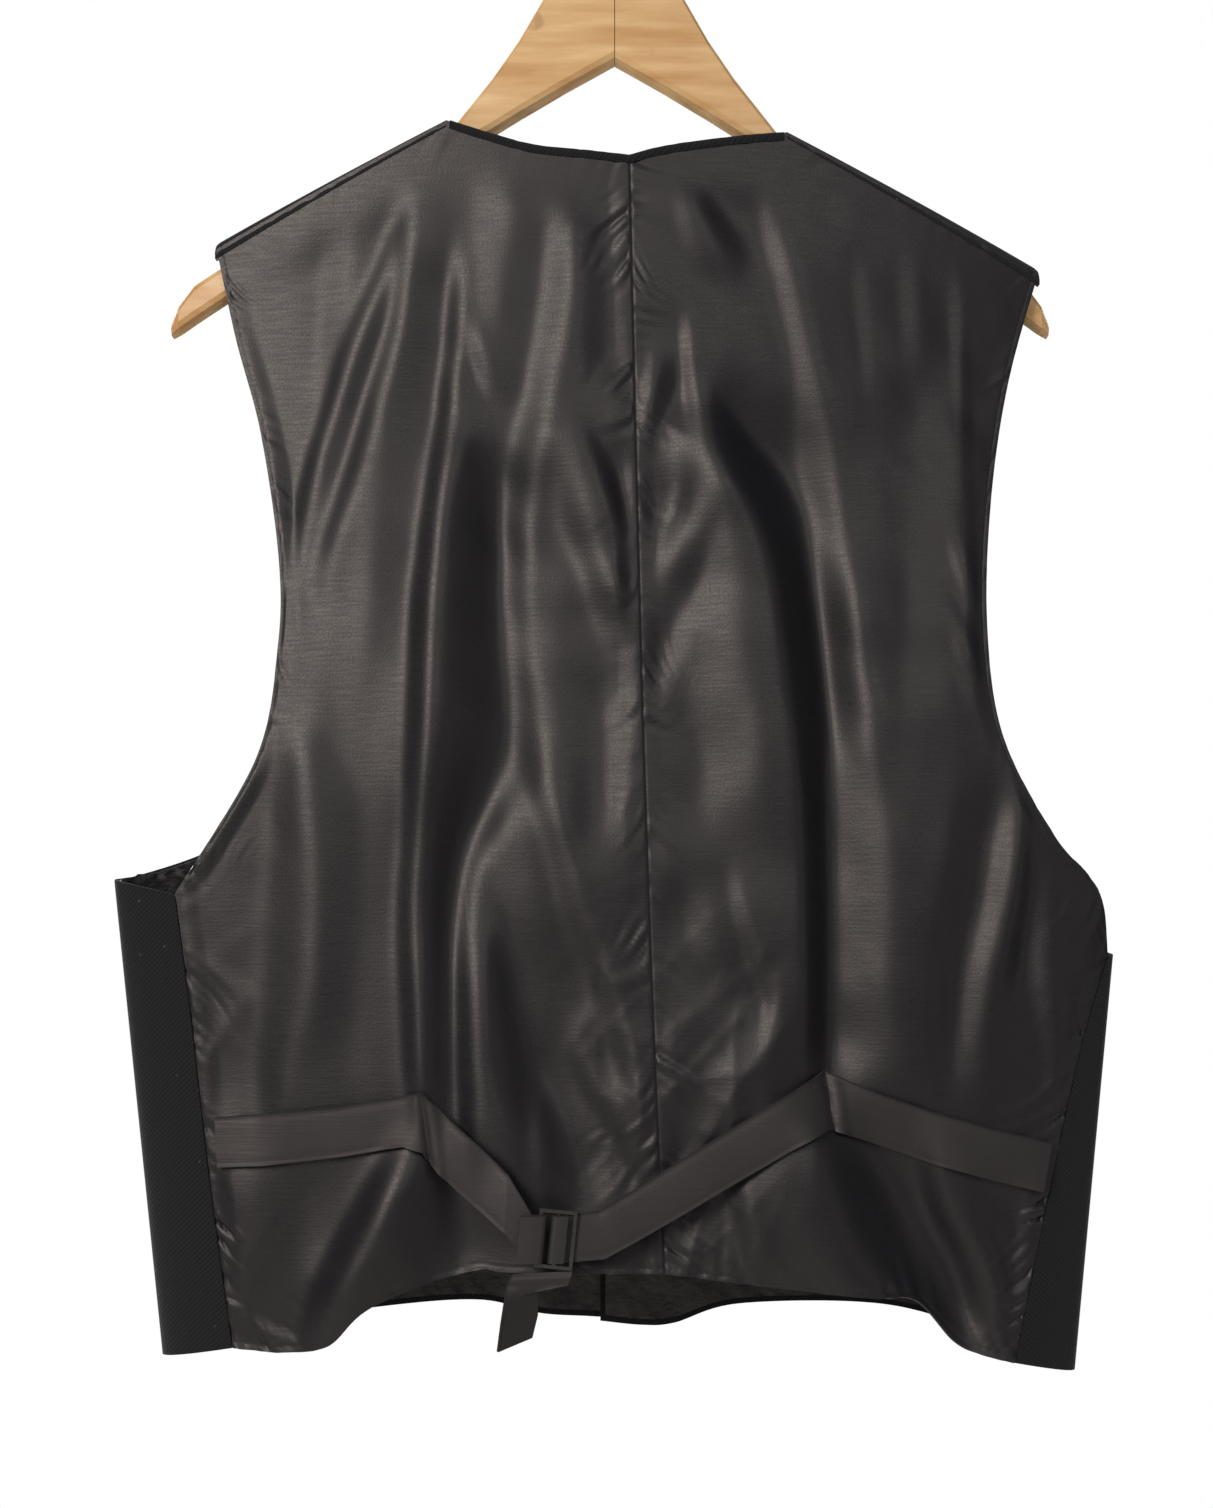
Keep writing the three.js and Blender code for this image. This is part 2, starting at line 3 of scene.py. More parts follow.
import bmesh
import bpy
import numpy as np
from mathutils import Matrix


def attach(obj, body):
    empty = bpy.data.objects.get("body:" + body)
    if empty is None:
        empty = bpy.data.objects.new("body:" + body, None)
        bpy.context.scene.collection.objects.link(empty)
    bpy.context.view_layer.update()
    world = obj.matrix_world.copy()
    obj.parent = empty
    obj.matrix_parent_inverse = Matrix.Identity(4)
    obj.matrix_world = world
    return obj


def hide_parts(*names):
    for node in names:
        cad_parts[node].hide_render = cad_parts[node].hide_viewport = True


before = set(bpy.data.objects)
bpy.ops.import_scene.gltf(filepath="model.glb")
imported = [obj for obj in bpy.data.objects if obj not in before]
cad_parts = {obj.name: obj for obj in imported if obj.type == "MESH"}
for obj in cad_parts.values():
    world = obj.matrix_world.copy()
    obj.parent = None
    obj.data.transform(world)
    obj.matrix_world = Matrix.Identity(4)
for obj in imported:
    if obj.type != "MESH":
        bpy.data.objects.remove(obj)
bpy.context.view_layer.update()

# ---------------------------------------------------------------- camera, light and studio
# The vest hangs clear in a plain pale studio. The camera stands about a metre away, level with the lower
# ribs, and looks a little up. A big window lights the cloth from the left, and lamps behind light the fronts.

MM = 0.001
CAMERA_AT = (-4 * MM, -1000 * MM, -554 * MM)
LOOK_UP = math.radians(5)

camera = bpy.data.cameras.new("camera")
camera.sensor_fit = "VERTICAL"
camera.sensor_height = 36
camera.lens = 50
camera_object = bpy.data.objects.new("camera", camera)
camera_object.location = CAMERA_AT
camera_object.rotation_euler = (math.pi / 2 + LOOK_UP, 0, 0)
bpy.context.collection.objects.link(camera_object)
bpy.context.scene.camera = camera_object


def area_light(name, place, target, size, watts, colour=(1, 1, 1)):
    """A soft oblong lamp at a place, turned to face a target: down by the angle whose tangent is its flat
    distance over its height, and round by the angle whose tangent is the way's x over its y."""
    lamp = bpy.data.lights.new(name, "AREA")
    lamp.shape = "RECTANGLE"
    lamp.size, lamp.size_y = size
    lamp.energy = watts
    lamp.color = colour
    lamp_object = bpy.data.objects.new(name, lamp)
    lamp_object.location = place
    way = np.array(target) - np.array(place)
    flat = math.hypot(way[0], way[1])
    lamp_object.rotation_euler = (math.atan2(flat, -way[2]), 0, math.atan2(-way[0], way[1]))
    bpy.context.collection.objects.link(lamp_object)


VEST_MIDDLE = (0, 0, -0.45)
area_light("window", (-1.5, -2.15, 0.75), VEST_MIDDLE, (1.0, 1.5), 54, (1, 0.985, 0.96))
area_light("room", (2.2, -1.3, -0.2), VEST_MIDDLE, (0.8, 1.6), 3, (0.96, 0.98, 1))
area_light("front", (0.75, -2.5, 0.9), VEST_MIDDLE, (1.0, 1.4), 13, (0.96, 0.975, 1))
area_light("rear left", (-1.9, 2.1, 0.1), VEST_MIDDLE, (1.2, 1.4), 42, (1, 0.985, 0.96))
area_light("rear right", (1.7, 2.2, 0.2), VEST_MIDDLE, (1.2, 1.4), 34, (0.96, 0.975, 1))


def linear(hex_colour):
    """sRGB hex text as a linear RGBA colour: a twelfth or so of a dark value, and a power of 2.4 above."""
    values = [int(hex_colour[i:i + 2], 16) / 255 for i in (1, 3, 5)]
    return tuple(v / 12.92 if v <= 0.04045 else ((v + 0.055) / 1.055) ** 2.4 for v in values) + (1.0,)


def add(tree, kind, settings=None, **links):
    """A node with its settings. Each link gives an input a value or a socket: i and a number is the input's
    place, and a name is its name, with _ for a space."""
    node = tree.nodes.new(kind)
    for name, value in (settings or {}).items():
        setattr(node, name, value)
    for name, value in links.items():
        key = int(name[1:]) if name[0] == "i" and name[1:].isdigit() else name.replace("_", " ")
        if isinstance(value, bpy.types.NodeSocket):
            tree.links.new(value, node.inputs[key])
        else:
            node.inputs[key].default_value = value
    return node


def new_material(name):
    """A material with an empty node tree, and that tree."""
    material = bpy.data.materials.new(name)
    material.use_nodes = True
    tree = material.node_tree
    tree.nodes.clear()
    return material, tree


def seen_directly(tree):
    """1 for a ray from the camera or through glass, else 0, so that the satin's darks mirror no white."""
    path = add(tree, "ShaderNodeLightPath")
    return add(tree, "ShaderNodeMath", {"operation": "MAXIMUM"}, i0=path.outputs["Is Camera Ray"],
               i1=path.outputs["Is Transmission Ray"])


def studio_material():
    """Pale painted card that shows pure white to the eye and through glass, and takes light plainly."""
    material, tree = new_material("white studio card")
    either = seen_directly(tree)
    card = add(tree, "ShaderNodeBsdfDiffuse", Color=linear("#dedcd9"))
    white = add(tree, "ShaderNodeEmission", Color=(1, 1, 1, 1), Strength=1.0)
    mixed = add(tree, "ShaderNodeMixShader", i0=either.outputs[0], i1=card.outputs[0], i2=white.outputs[0])
    add(tree, "ShaderNodeOutputMaterial", Surface=mixed.outputs[0])
    return material


def stage_plane(name, corners, material):
    """One flat face through four corners, in the given material."""
    mesh = bpy.data.meshes.new(name)
    mesh.from_pydata(corners, [], [(0, 1, 2, 3)])
    mesh.materials.append(material)
    plane = bpy.data.objects.new(name, mesh)
    bpy.context.collection.objects.link(plane)


card = studio_material()
FLOOR_Z, REACH, FLOOR_END = -1.35, 5.0, 2.6
stage_plane("floor", [(-REACH, -REACH, FLOOR_Z), (REACH, -REACH, FLOOR_Z), (REACH, FLOOR_END, FLOOR_Z),
                      (-REACH, FLOOR_END, FLOOR_Z)], card)

world = bpy.data.worlds.new("studio")
world.use_nodes = True
bpy.context.scene.world = world
tree = world.node_tree
tree.nodes.clear()
seen = seen_directly(tree)
room = add(tree, "ShaderNodeBackground", Color=linear("#c9ccd0"), Strength=0.07)
white = add(tree, "ShaderNodeBackground", Color=(1, 1, 1, 1), Strength=1.0)
mixed = add(tree, "ShaderNodeMixShader", i0=seen.outputs[0], i1=room.outputs[0], i2=white.outputs[0])
add(tree, "ShaderNodeOutputWorld", Surface=mixed.outputs[0])
bpy.context.scene.view_settings.view_transform = "Standard"

# ---------------------------------------------------------------- the satin back
# Two halves of slippery charcoal satin, sewn at the centre back. The cloth is a filament weave with a soft
# sheen; it hangs in long folds from the shoulders, and every sewn edge puckers it.

SATIN_THICK = 1.2
SEAM_GAP = 0.5
CENTRE_GAP = 0.04
NECK_BINDING = 3.4
SHOULDER_SEAM = 5
CLOSING_X = 10
# each side fold's x at a height z, and how fast it goes out upwards
SIDE = {"left": (211, -740, 0.124), "right": (213.5, -753, 0.115)}
ROUNDNESS = 2.3
HANGER_BOW, BOW_AT = 22, 200
# how far the oval's back and front stand off its middle plane at each height
DEPTH_Z = [-760, -650, -540, -420, -300, -150]
DEPTH_BACK = [44, 38, 31, 23, 15, 11.5]
DEPTH_FRONT = [51, 45, 37, 28, 19, 14]

CENTRE_BACK = [(7, -176), (10, -321), (13, -453), (17, -583), (22, -705)]
BACK = {
    "left": {
        "neck": [(7, -176), (-14, -173.5), (-39, -170.5), (-61, -164), (-80.5, -157)],
        "shoulder": [(-82, -154), (-197, -214)],
        "armhole": [(-197, -214), (-186, -261), (-172, -310), (-161, -373), (-160, -417), (-169, -471),
                    (-206, -534)],
        "seam": [(-206, -534), (-197, -591), (-187, -661), (-174, -740)],
        "hem": [(22, -705), (-47, -705), (-64, -704.5), (-109, -719), (-129, -737), (-151, -741.5),
                (-174, -740)],
    },
    "right": {
        "neck": [(7, -176), (26, -171), (61, -165.5), (82.5, -163)],
        "shoulder": [(84, -160), (210, -226)],
        "armhole": [(210, -226), (193, -283), (182, -343), (177.5, -405), (183, -459), (206, -506),
                    (228, -533), (232, -563)],
        "seam": [(232, -563), (217, -607), (200, -672), (182, -747)],
        "hem": [(22, -705), (61, -709.5), (114, -715), (136, -718), (154, -737), (166, -743), (182, -747)],
    },
}

# The flanks of the back's folds. Each has a name, its steepness, plus where the cloth rises to the right,
# and rows of a height z and the x of its left and of its right edge there.
FLANKS = [
    ("left shoulder swell", 0.14, [(-212, -143, -127), (-250, -144, -129), (-288, -146, -134)]),
    ("left shoulder crease, outer", 0.30,
     [(-203, -109, -99), (-227, -116, -108), (-256, -129, -120), (-284, -138, -129), (-312, -146, -138),
      (-344, -154, -145), (-374, -158, -149)]),
    ("channel between the creases", -0.16, [(-236, -110, -103), (-284, -128, -119), (-338, -143, -135)]),
    ("left shoulder crease, inner", 0.28,
     [(-206, -104, -96), (-256, -111, -101), (-293, -121, -111), (-327, -129, -119), (-355, -137, -128),
      (-377, -144, -135)]),
    ("slack right of the creases", -0.10, [(-230, -98, -84), (-330, -112, -94), (-430, -118, -98)]),
    ("long ridge left of the middle", 0.36,
     [(-226, -80, -72), (-259, -82, -73), (-321, -88, -79), (-389, -96, -85), (-445, -97, -86),
      (-506, -99, -88), (-542, -101, -91), (-603, -97, -87), (-630, -94, -86)]),
    ("hollow beside it", -0.50,
     [(-318, -72, -60), (-344, -77, -55), (-375, -81, -53), (-445, -84, -47), (-475, -86, -55),
      (-506, -88, -67), (-566, -88, -74), (-634, -86, -75)]),
    ("ridge towards the centre", 0.26,
     [(-214, -34, -18), (-256, -37, -21), (-313, -48, -32), (-344, -54, -38), (-406, -55, -39),
      (-445, -52, -36), (-469, -47, -31), (-490, -46, -34)]),
    ("fork, left leg", 0.38,
     [(-486, -56, -44), (-500, -62, -49), (-518, -72, -61), (-545, -76, -66), (-576, -74, -65),
      (-627, -71, -62), (-662, -70, -62)]),
    ("fork, right leg", 0.26,
     [(-480, -42, -31), (-515, -32, -19), (-545, -25, -12), (-573, -12, 1), (-603, -4, 8), (-627, 3, 13)]),
    ("crescent over the seam", 0.34, [(-606, -26, -18), (-622, -16, -8), (-640, -4, 4), (-662, 8, 16)]),
    ("hollow inside the fork", -0.50,
     [(-552, -59, -50), (-590, -58, -41), (-620, -55, -32), (-650, -45, -18), (-676, -36, -10)]),
    ("light between the legs", 0.12, [(-498, -60, -40), (-560, -56, -28)]),
    ("short ridge over the buckle", 0.28, [(-628, -41, -33), (-676, -38, -31)]),
    ("light patch under the neck, left", 0.13, [(-186, -68, -48), (-225, -70, -50), (-262, -68, -56)]),
    ("small nick, left", 0.34, [(-264, -72, -67), (-276, -68, -63), (-290, -63, -59)]),
    ("shade beside the seam, left", -0.13, [(-196, -18, -4), (-282, -16, -2)]),
    ("light beside the seam, left", 0.16, [(-166, -1, 7), (-262, 0, 8)]),
    ("tuck at the seam, left", -0.50, [(-314, -18, -8), (-332, -8, 2), (-350, -2, 8), (-368, 3, 10)]),
    ("tuck at the seam, left, lower", -0.42, [(-376, 1, 8), (-396, 4, 11)]),
    ("swell left of the seam", 0.26, [(-336, -30, -17), (-366, -22, -8), (-389, -14, 1), (-412, -8, 6)]),
    ("fold left of the seam, lower", 0.16, [(-430, -6, 8), (-470, -4, 10), (-512, -8, 8)]),
    ("shade left of the fold, lower", -0.14, [(-428, -24, -10), (-515, -24, -10)]),
    ("swell under the left arm", 0.22,
     [(-468, -160, -148), (-500, -162, -142), (-540, -164, -139), (-580, -165, -141), (-612, -166, -148),
      (-640, -165, -152)]),
    ("slack right of the swell", -0.12, [(-455, -144, -126), (-520, -136, -118), (-600, -138, -120)]),
    ("left skirt fold", 0.44,
     [(-648, -104, -92), (-673, -117, -104), (-691, -127, -113), (-709, -136, -122), (-738, -147, -132)]),
    ("left skirt hollow", -0.52, [(-650, -90, -74), (-675, -99, -70), (-700, -110, -74), (-724, -122, -92)]),
    ("left skirt, outer shade", -0.18, [(-660, -168, -138), (-712, -166, -140)]),
    ("neck crease, right", -0.26, [(-192, 34, 46), (-210, 44, 58), (-229, 54, 68)]),
    ("light beside the neck crease", 0.14, [(-198, 26, 36), (-222, 32, 46), (-250, 40, 54)]),
    ("neck crease, right, lower", -0.14, [(-231, 30, 46), (-252, 38, 52)]),
    ("right ridge, upper", 0.26,
     [(-200, 68, 78), (-236, 76, 89), (-270, 83, 97), (-298, 86, 103), (-332, 90, 108), (-361, 93, 111),
      (-389, 97, 114), (-460, 103, 118)]),
    ("right ridge, lower", 0.24, [(-380, 97, 116), (-445, 102, 122), (-520, 103, 130), (-615, 101, 130)]),
    ("dark wedge", -0.66,
     [(-300, 46, 58), (-316, 47, 70), (-334, 54, 82), (-361, 67, 91), (-389, 76, 95), (-445, 82, 101),
      (-476, 85, 101), (-540, 87, 101), (-622, 86, 100)]),
    ("lip over the wedge", 0.30, [(-258, 31, 38), (-285, 32, 39), (-310, 36, 42)]),
    ("swell left of the wedge", 0.20,
     [(-322, 26, 44), (-360, 32, 56), (-400, 30, 62), (-450, 34, 68), (-500, 44, 72)]),
    ("tuck at the seam, right", -0.36, [(-282, 24, 33), (-300, 17, 26), (-322, 10, 18)]),
    ("light over the tuck, right", 0.20, [(-270, 12, 20), (-296, 12, 20)]),
    ("fold from the seam, right", 0.24, [(-338, 32, 42), (-360, 24, 34), (-384, 15, 25)]),
    ("fold from the seam, lower", 0.20, [(-400, 30, 40), (-424, 22, 32), (-446, 14, 24)]),
    ("shade under the fold", -0.20, [(-352, 44, 52), (-376, 34, 44), (-398, 26, 36)]),
    ("swell under the right arm", 0.15,
     [(-298, 148, 166), (-350, 143, 163), (-400, 140, 160), (-446, 137, 156)]),
    ("fine crease, right shoulder", 0.13, [(-232, 117, 122), (-284, 121, 126)]),
    ("soft crease, right shoulder", 0.10, [(-224, 139, 148), (-276, 140, 149)]),
    ("line along the right armhole", -0.14, [(-262, 169, 174), (-350, 169, 175)]),
    ("light along the right armhole", 0.12, [(-232, 164, 170), (-306, 166, 172)]),
    ("crease at the right armhole", 0.30, [(-366, 158, 164), (-384, 163, 169), (-400, 168, 174)]),
    ("crease at the right armhole, lower", 0.34, [(-410, 157, 163), (-423, 161, 168), (-436, 167, 173)]),
    ("right waist ridge", 0.34,
     [(-488, 180, 191), (-502, 178, 190), (-539, 171, 184), (-570, 162, 175), (-606, 158, 170)]),
    ("right waist, inner shade", -0.20,
     [(-492, 160, 174), (-540, 152, 165), (-580, 146, 158), (-614, 146, 156)]),
    ("right waist, outer shade", -0.30, [(-500, 191, 198), (-540, 186, 194), (-580, 176, 186)]),
    ("right waist, outer ridge", 0.28,
     [(-536, 197, 204), (-565, 193, 202), (-590, 195, 204), (-614, 199, 207)]),
    ("right skirt hollow", -0.55,
     [(-636, 88, 112), (-665, 90, 128), (-690, 98, 142), (-715, 118, 154), (-738, 136, 160)]),
    ("right skirt fold", 0.46, [(-648, 136, 147), (-680, 143, 155), (-701, 155, 168), (-736, 164, 177)]),
    ("right skirt, outer shade", -0.28, [(-672, 160, 169), (-700, 172, 181), (-734, 180, 190)]),
    ("right skirt, outer light", 0.20, [(-664, 180, 194), (-694, 186, 198)]),
    ("low crease, right", 0.28, [(-532, 52, 58), (-560, 60, 66), (-586, 67, 74)]),
    ("low crease, right, second", 0.28, [(-572, 71, 77), (-606, 66, 72)]),
    ("low light beside the seam, right", 0.20, [(-534, 30, 44), (-560, 34, 50)]),
    ("low shade, right", -0.28, [(-590, 68, 84), (-640, 70, 86)]),
    ("low light over the hem", 0.28, [(-652, 48, 58), (-706, 56, 66)]),
]


def smooth(value, low, high):
    """0 below low, 1 above high and a soft step between."""
    share = np.clip((value - low) / (high - low), 0, 1)
    return share * share * (3 - 2 * share)


def curve(rows, shares):
    """A smooth line through the rows (cubic with tangents from each point's neighbours), at shares of its
    length; a whole number gives that many even steps."""
    shares = np.linspace(0, 1, shares + 1) if isinstance(shares, int) else shares
    rows = np.array(rows, float)
    dense = np.linspace(0, len(rows) - 1, 1600)
    k = np.minimum(dense.astype(int), len(rows) - 2)
    t = (dense - k)[:, None]
    p0, p1, p2, p3 = rows[np.maximum(k - 1, 0)], rows[k], rows[k + 1], rows[np.minimum(k + 2, len(rows) - 1)]
    a, b = (p2 - p0) / 2, (p3 - p1) / 2
    line = (2 * p1 - 2 * p2 + a + b) * t ** 3 + (-3 * p1 + 3 * p2 - 2 * a - b) * t ** 2 + a * t + p1
    run = np.r_[0, np.cumsum(np.linalg.norm(np.diff(line, axis=0), axis=1))]
    return np.stack([np.interp(shares * run[-1], run, line[:, k]) for k in range(line.shape[1])], 1)


def crowded(count, crowding):
    """Shares from 0 to 1 that lie closer together near both ends, by a sine taken from even steps."""
    even = np.linspace(0, 1, count + 1)
    return even - crowding * np.sin(2 * math.pi * even) / (2 * math.pi)


def joined(first, second):
    """Two lines as one: the second starts where the first ends, so that point is taken once."""
    return np.concatenate([first, second[1:]])


def patch(top, foot, inner, outer, u=None, v=None):
    """The surface between four edges: the two straight blends across it less the blend of its corners."""
    u = (np.linspace(0, 1, len(top)) if u is None else u)[None, :, None]
    v = (np.linspace(0, 1, len(inner)) if v is None else v)[:, None, None]
    across = inner[:, None] * (1 - u) + outer[:, None] * u
    down = top[None] * (1 - v) + foot[None] * v
    flat = (top[0] * (1 - u) + top[-1] * u) * (1 - v) + (foot[0] * (1 - u) + foot[-1] * u) * v
    return across + down - flat


def half_width(x, z):
    """From the middle to the side fold on x's side: a straight line in z."""
    left, right = SIDE["left"], SIDE["right"]
    return np.where(x < CLOSING_X, left[0] + left[2] * (z - left[1]), right[0] + right[2] * (z - right[1]))


def cloth_bow(x, z):
    """The hanger's bend forward, which goes with the square of x and dies out down the cloth."""
    past_tip = 10
    out = np.minimum(np.abs(x), BOW_AT + past_tip)
    return HANGER_BOW * (out / BOW_AT) ** 2 * (1 - smooth(-z, 240, 540))


def oval(x, z):
    """Height of the flattened oval over its long axis: 1 in the middle, 0 at the side folds."""
    share = np.minimum(np.abs(x) / half_width(x, z), 1)
    return (1 - share ** ROUNDNESS) ** (1 / ROUNDNESS)


def plain_back(x, z):
    """The y of the back with no folds: the bend forward less the oval's height at that depth."""
    return cloth_bow(x, z) - np.interp(z, DEPTH_Z, DEPTH_BACK) * oval(x, z)


def plain_front(x, z):
    """The y of the front: the bend forward and the oval's height at that depth."""
    return cloth_bow(x, z) + np.interp(z, DEPTH_Z, DEPTH_FRONT) * oval(x, z)


def softened(values, spread):
    """The values along the first axis, each a mean of its neighbours weighed by a bell of that spread."""
    place = np.arange(len(values))
    bell = np.exp(-((place[:, None] - place[None]) / spread) ** 2 / 2)
    return (bell / bell.sum(1, keepdims=True)) @ values


STEP_ACROSS, STEP_UP = 1.5, 3.0
FIELD_ACROSS, FIELD_UP = np.arange(-225, 236, STEP_ACROSS), np.arange(-775, -130, STEP_UP)
LONGEST_FADE = 40
SOFT_EDGE = 0.5
SOFT_UP = 2.2
BROAD = 40
DEEPEN = 1.9


def fold_field(across, up):
    """Heights of the folds. Each flank's steepness is a flat-topped bell over its width, faded at both ends.
    Their sum, softened up and down and less its own broad mean, is summed from left to right."""
    steep = np.zeros((len(up), len(across)))
    for _, most, rows in FLANKS:
        line = curve(rows, 80)[::-1]
        left, right = (np.interp(up, line[:, 0], line[:, k])[:, None] for k in (1, 2))
        top, foot = rows[0][0], rows[-1][0]
        fade = min(0.5 * (top - foot), LONGEST_FADE)
        ends = smooth(top + fade * 0.5 - up, 0, fade) * smooth(up - foot + fade * 0.5, 0, fade)
        half = (right - left) / 2 + SOFT_EDGE
        steep += most * ends[:, None] * np.exp(-np.abs((across[None] - (left + right) / 2) / half) ** 3)
    steep = softened(steep, SOFT_UP)
    steep = DEEPEN * (steep - softened(steep.T, BROAD / STEP_ACROSS).T)
    return np.cumsum(steep, axis=1) * STEP_ACROSS


FIELD = fold_field(FIELD_ACROSS, FIELD_UP)


def fold_rise(x, z):
    """The heights of the folds at any places: a straight blend between the four nearest of the field."""
    i = np.clip((x - FIELD_ACROSS[0]) / STEP_ACROSS, 0, len(FIELD_ACROSS) - 1.001)
    k = np.clip((z - FIELD_UP[0]) / STEP_UP, 0, len(FIELD_UP) - 1.001)
    i0, k0 = i.astype(int), k.astype(int)
    a, b = i - i0, k - k0
    return ((1 - b) * ((1 - a) * FIELD[k0, i0] + a * FIELD[k0, i0 + 1])
            + b * ((1 - a) * FIELD[k0 + 1, i0] + a * FIELD[k0 + 1, i0 + 1]))


def wander(s, seed, count=9, shortest=7.0, longest=60.0):
    """An uneven wave of unit size along s: a sum of sines of many lengths, from a fixed seed."""
    draw = np.random.default_rng(seed)
    lengths = np.exp(draw.uniform(math.log(shortest), math.log(longest), count))
    phases = draw.uniform(0, 2 * math.pi, count)
    total = sum(np.sin(2 * math.pi * s / w + p) * (w / longest) ** 0.25 for w, p in zip(lengths, phases))
    return total / math.sqrt(count)


def puckers(away, along, seed, reach, height, spacing, slant=0.5):
    """Short pleats that start at a sewn edge and slant off it: uneven waves along it, each stretch of its own
    strength and length, that die out with the distance from it."""
    lean = slant * away * (1 + 0.8 * wander(along, seed + 2, 5, 40, 160))
    wave = wander(along + lean, seed, 9, spacing * 0.7, spacing * 2.4)
    length = np.maximum(reach * (1 + 0.6 * wander(along, seed + 1, 6, spacing * 2, spacing * 8)), reach * 0.3)
    strength = np.clip(0.6 + 0.8 * wander(along, seed + 4, 6, spacing * 3, spacing * 12), 0.1, 1.6)
    return height * strength * wave * np.exp(-(away / length) ** 1.5) * smooth(away, 0.2, 2)


def crumple(x, z, seed, size):
    """Sharp soft creases going many ways: the sum of folded waves, bent by a slower wave."""
    draw = np.random.default_rng(seed)
    total = np.zeros_like(x)
    for way in draw.uniform(0.15, 1.25, 6) * draw.choice([-1, 1], 6):
        length = size * draw.uniform(0.7, 1.5)
        bend = 0.7 * np.sin(2 * math.pi * (x * draw.uniform(-1, 1) + z) / (size * 2.6) + draw.uniform(0, 6))
        phase = 2 * math.pi * (x * math.cos(way) + z * math.sin(way)) / length + bend + draw.uniform(0, 6)
        patch_way = x - z * draw.uniform(0.2, 0.8)
        strength = 0.5 + 0.5 * np.sin(2 * math.pi * patch_way / (size * 3) + phase * 0.13)
        total += strength * (1 - 1.6 * np.abs(np.sin(phase / 2)) ** 0.8)
    return total / 3


def surface_normal(grid):
    """The unit normal at each point of a grid: its step across crossed with its step down."""
    normal = np.cross(np.gradient(grid, axis=1), np.gradient(grid, axis=0))
    return normal / np.maximum(np.linalg.norm(normal, axis=2, keepdims=True), 1e-9)


def cloth_mesh(name, grid, thickness, material, cells=None):
    """A wall of even thickness on a grid of points in mm: both faces half of it off the grid along the
    normal, and a rim wherever a cell has no neighbour. It is turned outwards if its volume is negative."""
    rows, columns = grid.shape[:2]
    cells = np.ones((rows - 1, columns - 1), bool) if cells is None else cells
    normal = surface_normal(grid)
    count = rows * columns
    points = np.concatenate([(grid + normal * thickness / 2).reshape(-1, 3),
                             (grid - normal * thickness / 2).reshape(-1, 3)])
    ids = np.arange(count).reshape(rows, columns)
    a, b, c, d = (ids[:-1, :-1][cells], ids[:-1, 1:][cells], ids[1:, 1:][cells], ids[1:, :-1][cells])
    outer = np.stack([a, d, c, b], 1)
    inner = np.stack([a, b, c, d], 1) + count
    padded = np.pad(cells, 1)
    rims = []
    for ahead, start, end in [((-1, 0), a, b), ((0, 1), b, c), ((1, 0), c, d), ((0, -1), d, a)]:
        beside = padded[1 + ahead[0]:rows + ahead[0], 1 + ahead[1]:columns + ahead[1]][cells]
        s, e = start[~beside], end[~beside]
        rims.append(np.stack([s, e, e + count, s + count], 1))
    quads = np.concatenate([outer, inner] + rims)
    corner = points[quads]
    volume = np.einsum("ij,ij->i", corner[:, 0], np.cross(corner[:, 1], corner[:, 2]))
    volume += np.einsum("ij,ij->i", corner[:, 0], np.cross(corner[:, 2], corner[:, 3]))
    if volume.sum() < 0:
        quads = quads[:, ::-1]
    used = np.unique(quads)
    renumber = np.zeros(2 * count, int)
    renumber[used] = np.arange(len(used))
    mesh = bpy.data.meshes.new(name)
    mesh.from_pydata((points[used] * MM).tolist(), [], renumber[quads].tolist())
    flat = np.concatenate([sheet_uv(grid).reshape(-1, 2)] * 2)[used]
    layer = mesh.uv_layers.new(name="cloth")
    loops = np.zeros(len(mesh.loops), int)
    mesh.loops.foreach_get("vertex_index", loops)
    layer.data.foreach_set("uv", flat[loops].ravel())
    mesh.shade_smooth()
    mesh.set_sharp_from_angle(angle=math.radians(55))
    mesh.materials.append(material)
    piece = bpy.data.objects.new(name, mesh)
    bpy.context.collection.objects.link(piece)
    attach(piece, "root")
    return piece


def sheet_uv(grid):
    """UV in metres: the running length of cloth across each row from its first edge, and the height."""
    across = np.linalg.norm(np.diff(grid, axis=1), axis=2)
    u = np.pad(np.cumsum(across, axis=1), ((0, 0), (1, 0)))
    return np.stack([u, grid[..., 2]], 2) * MM


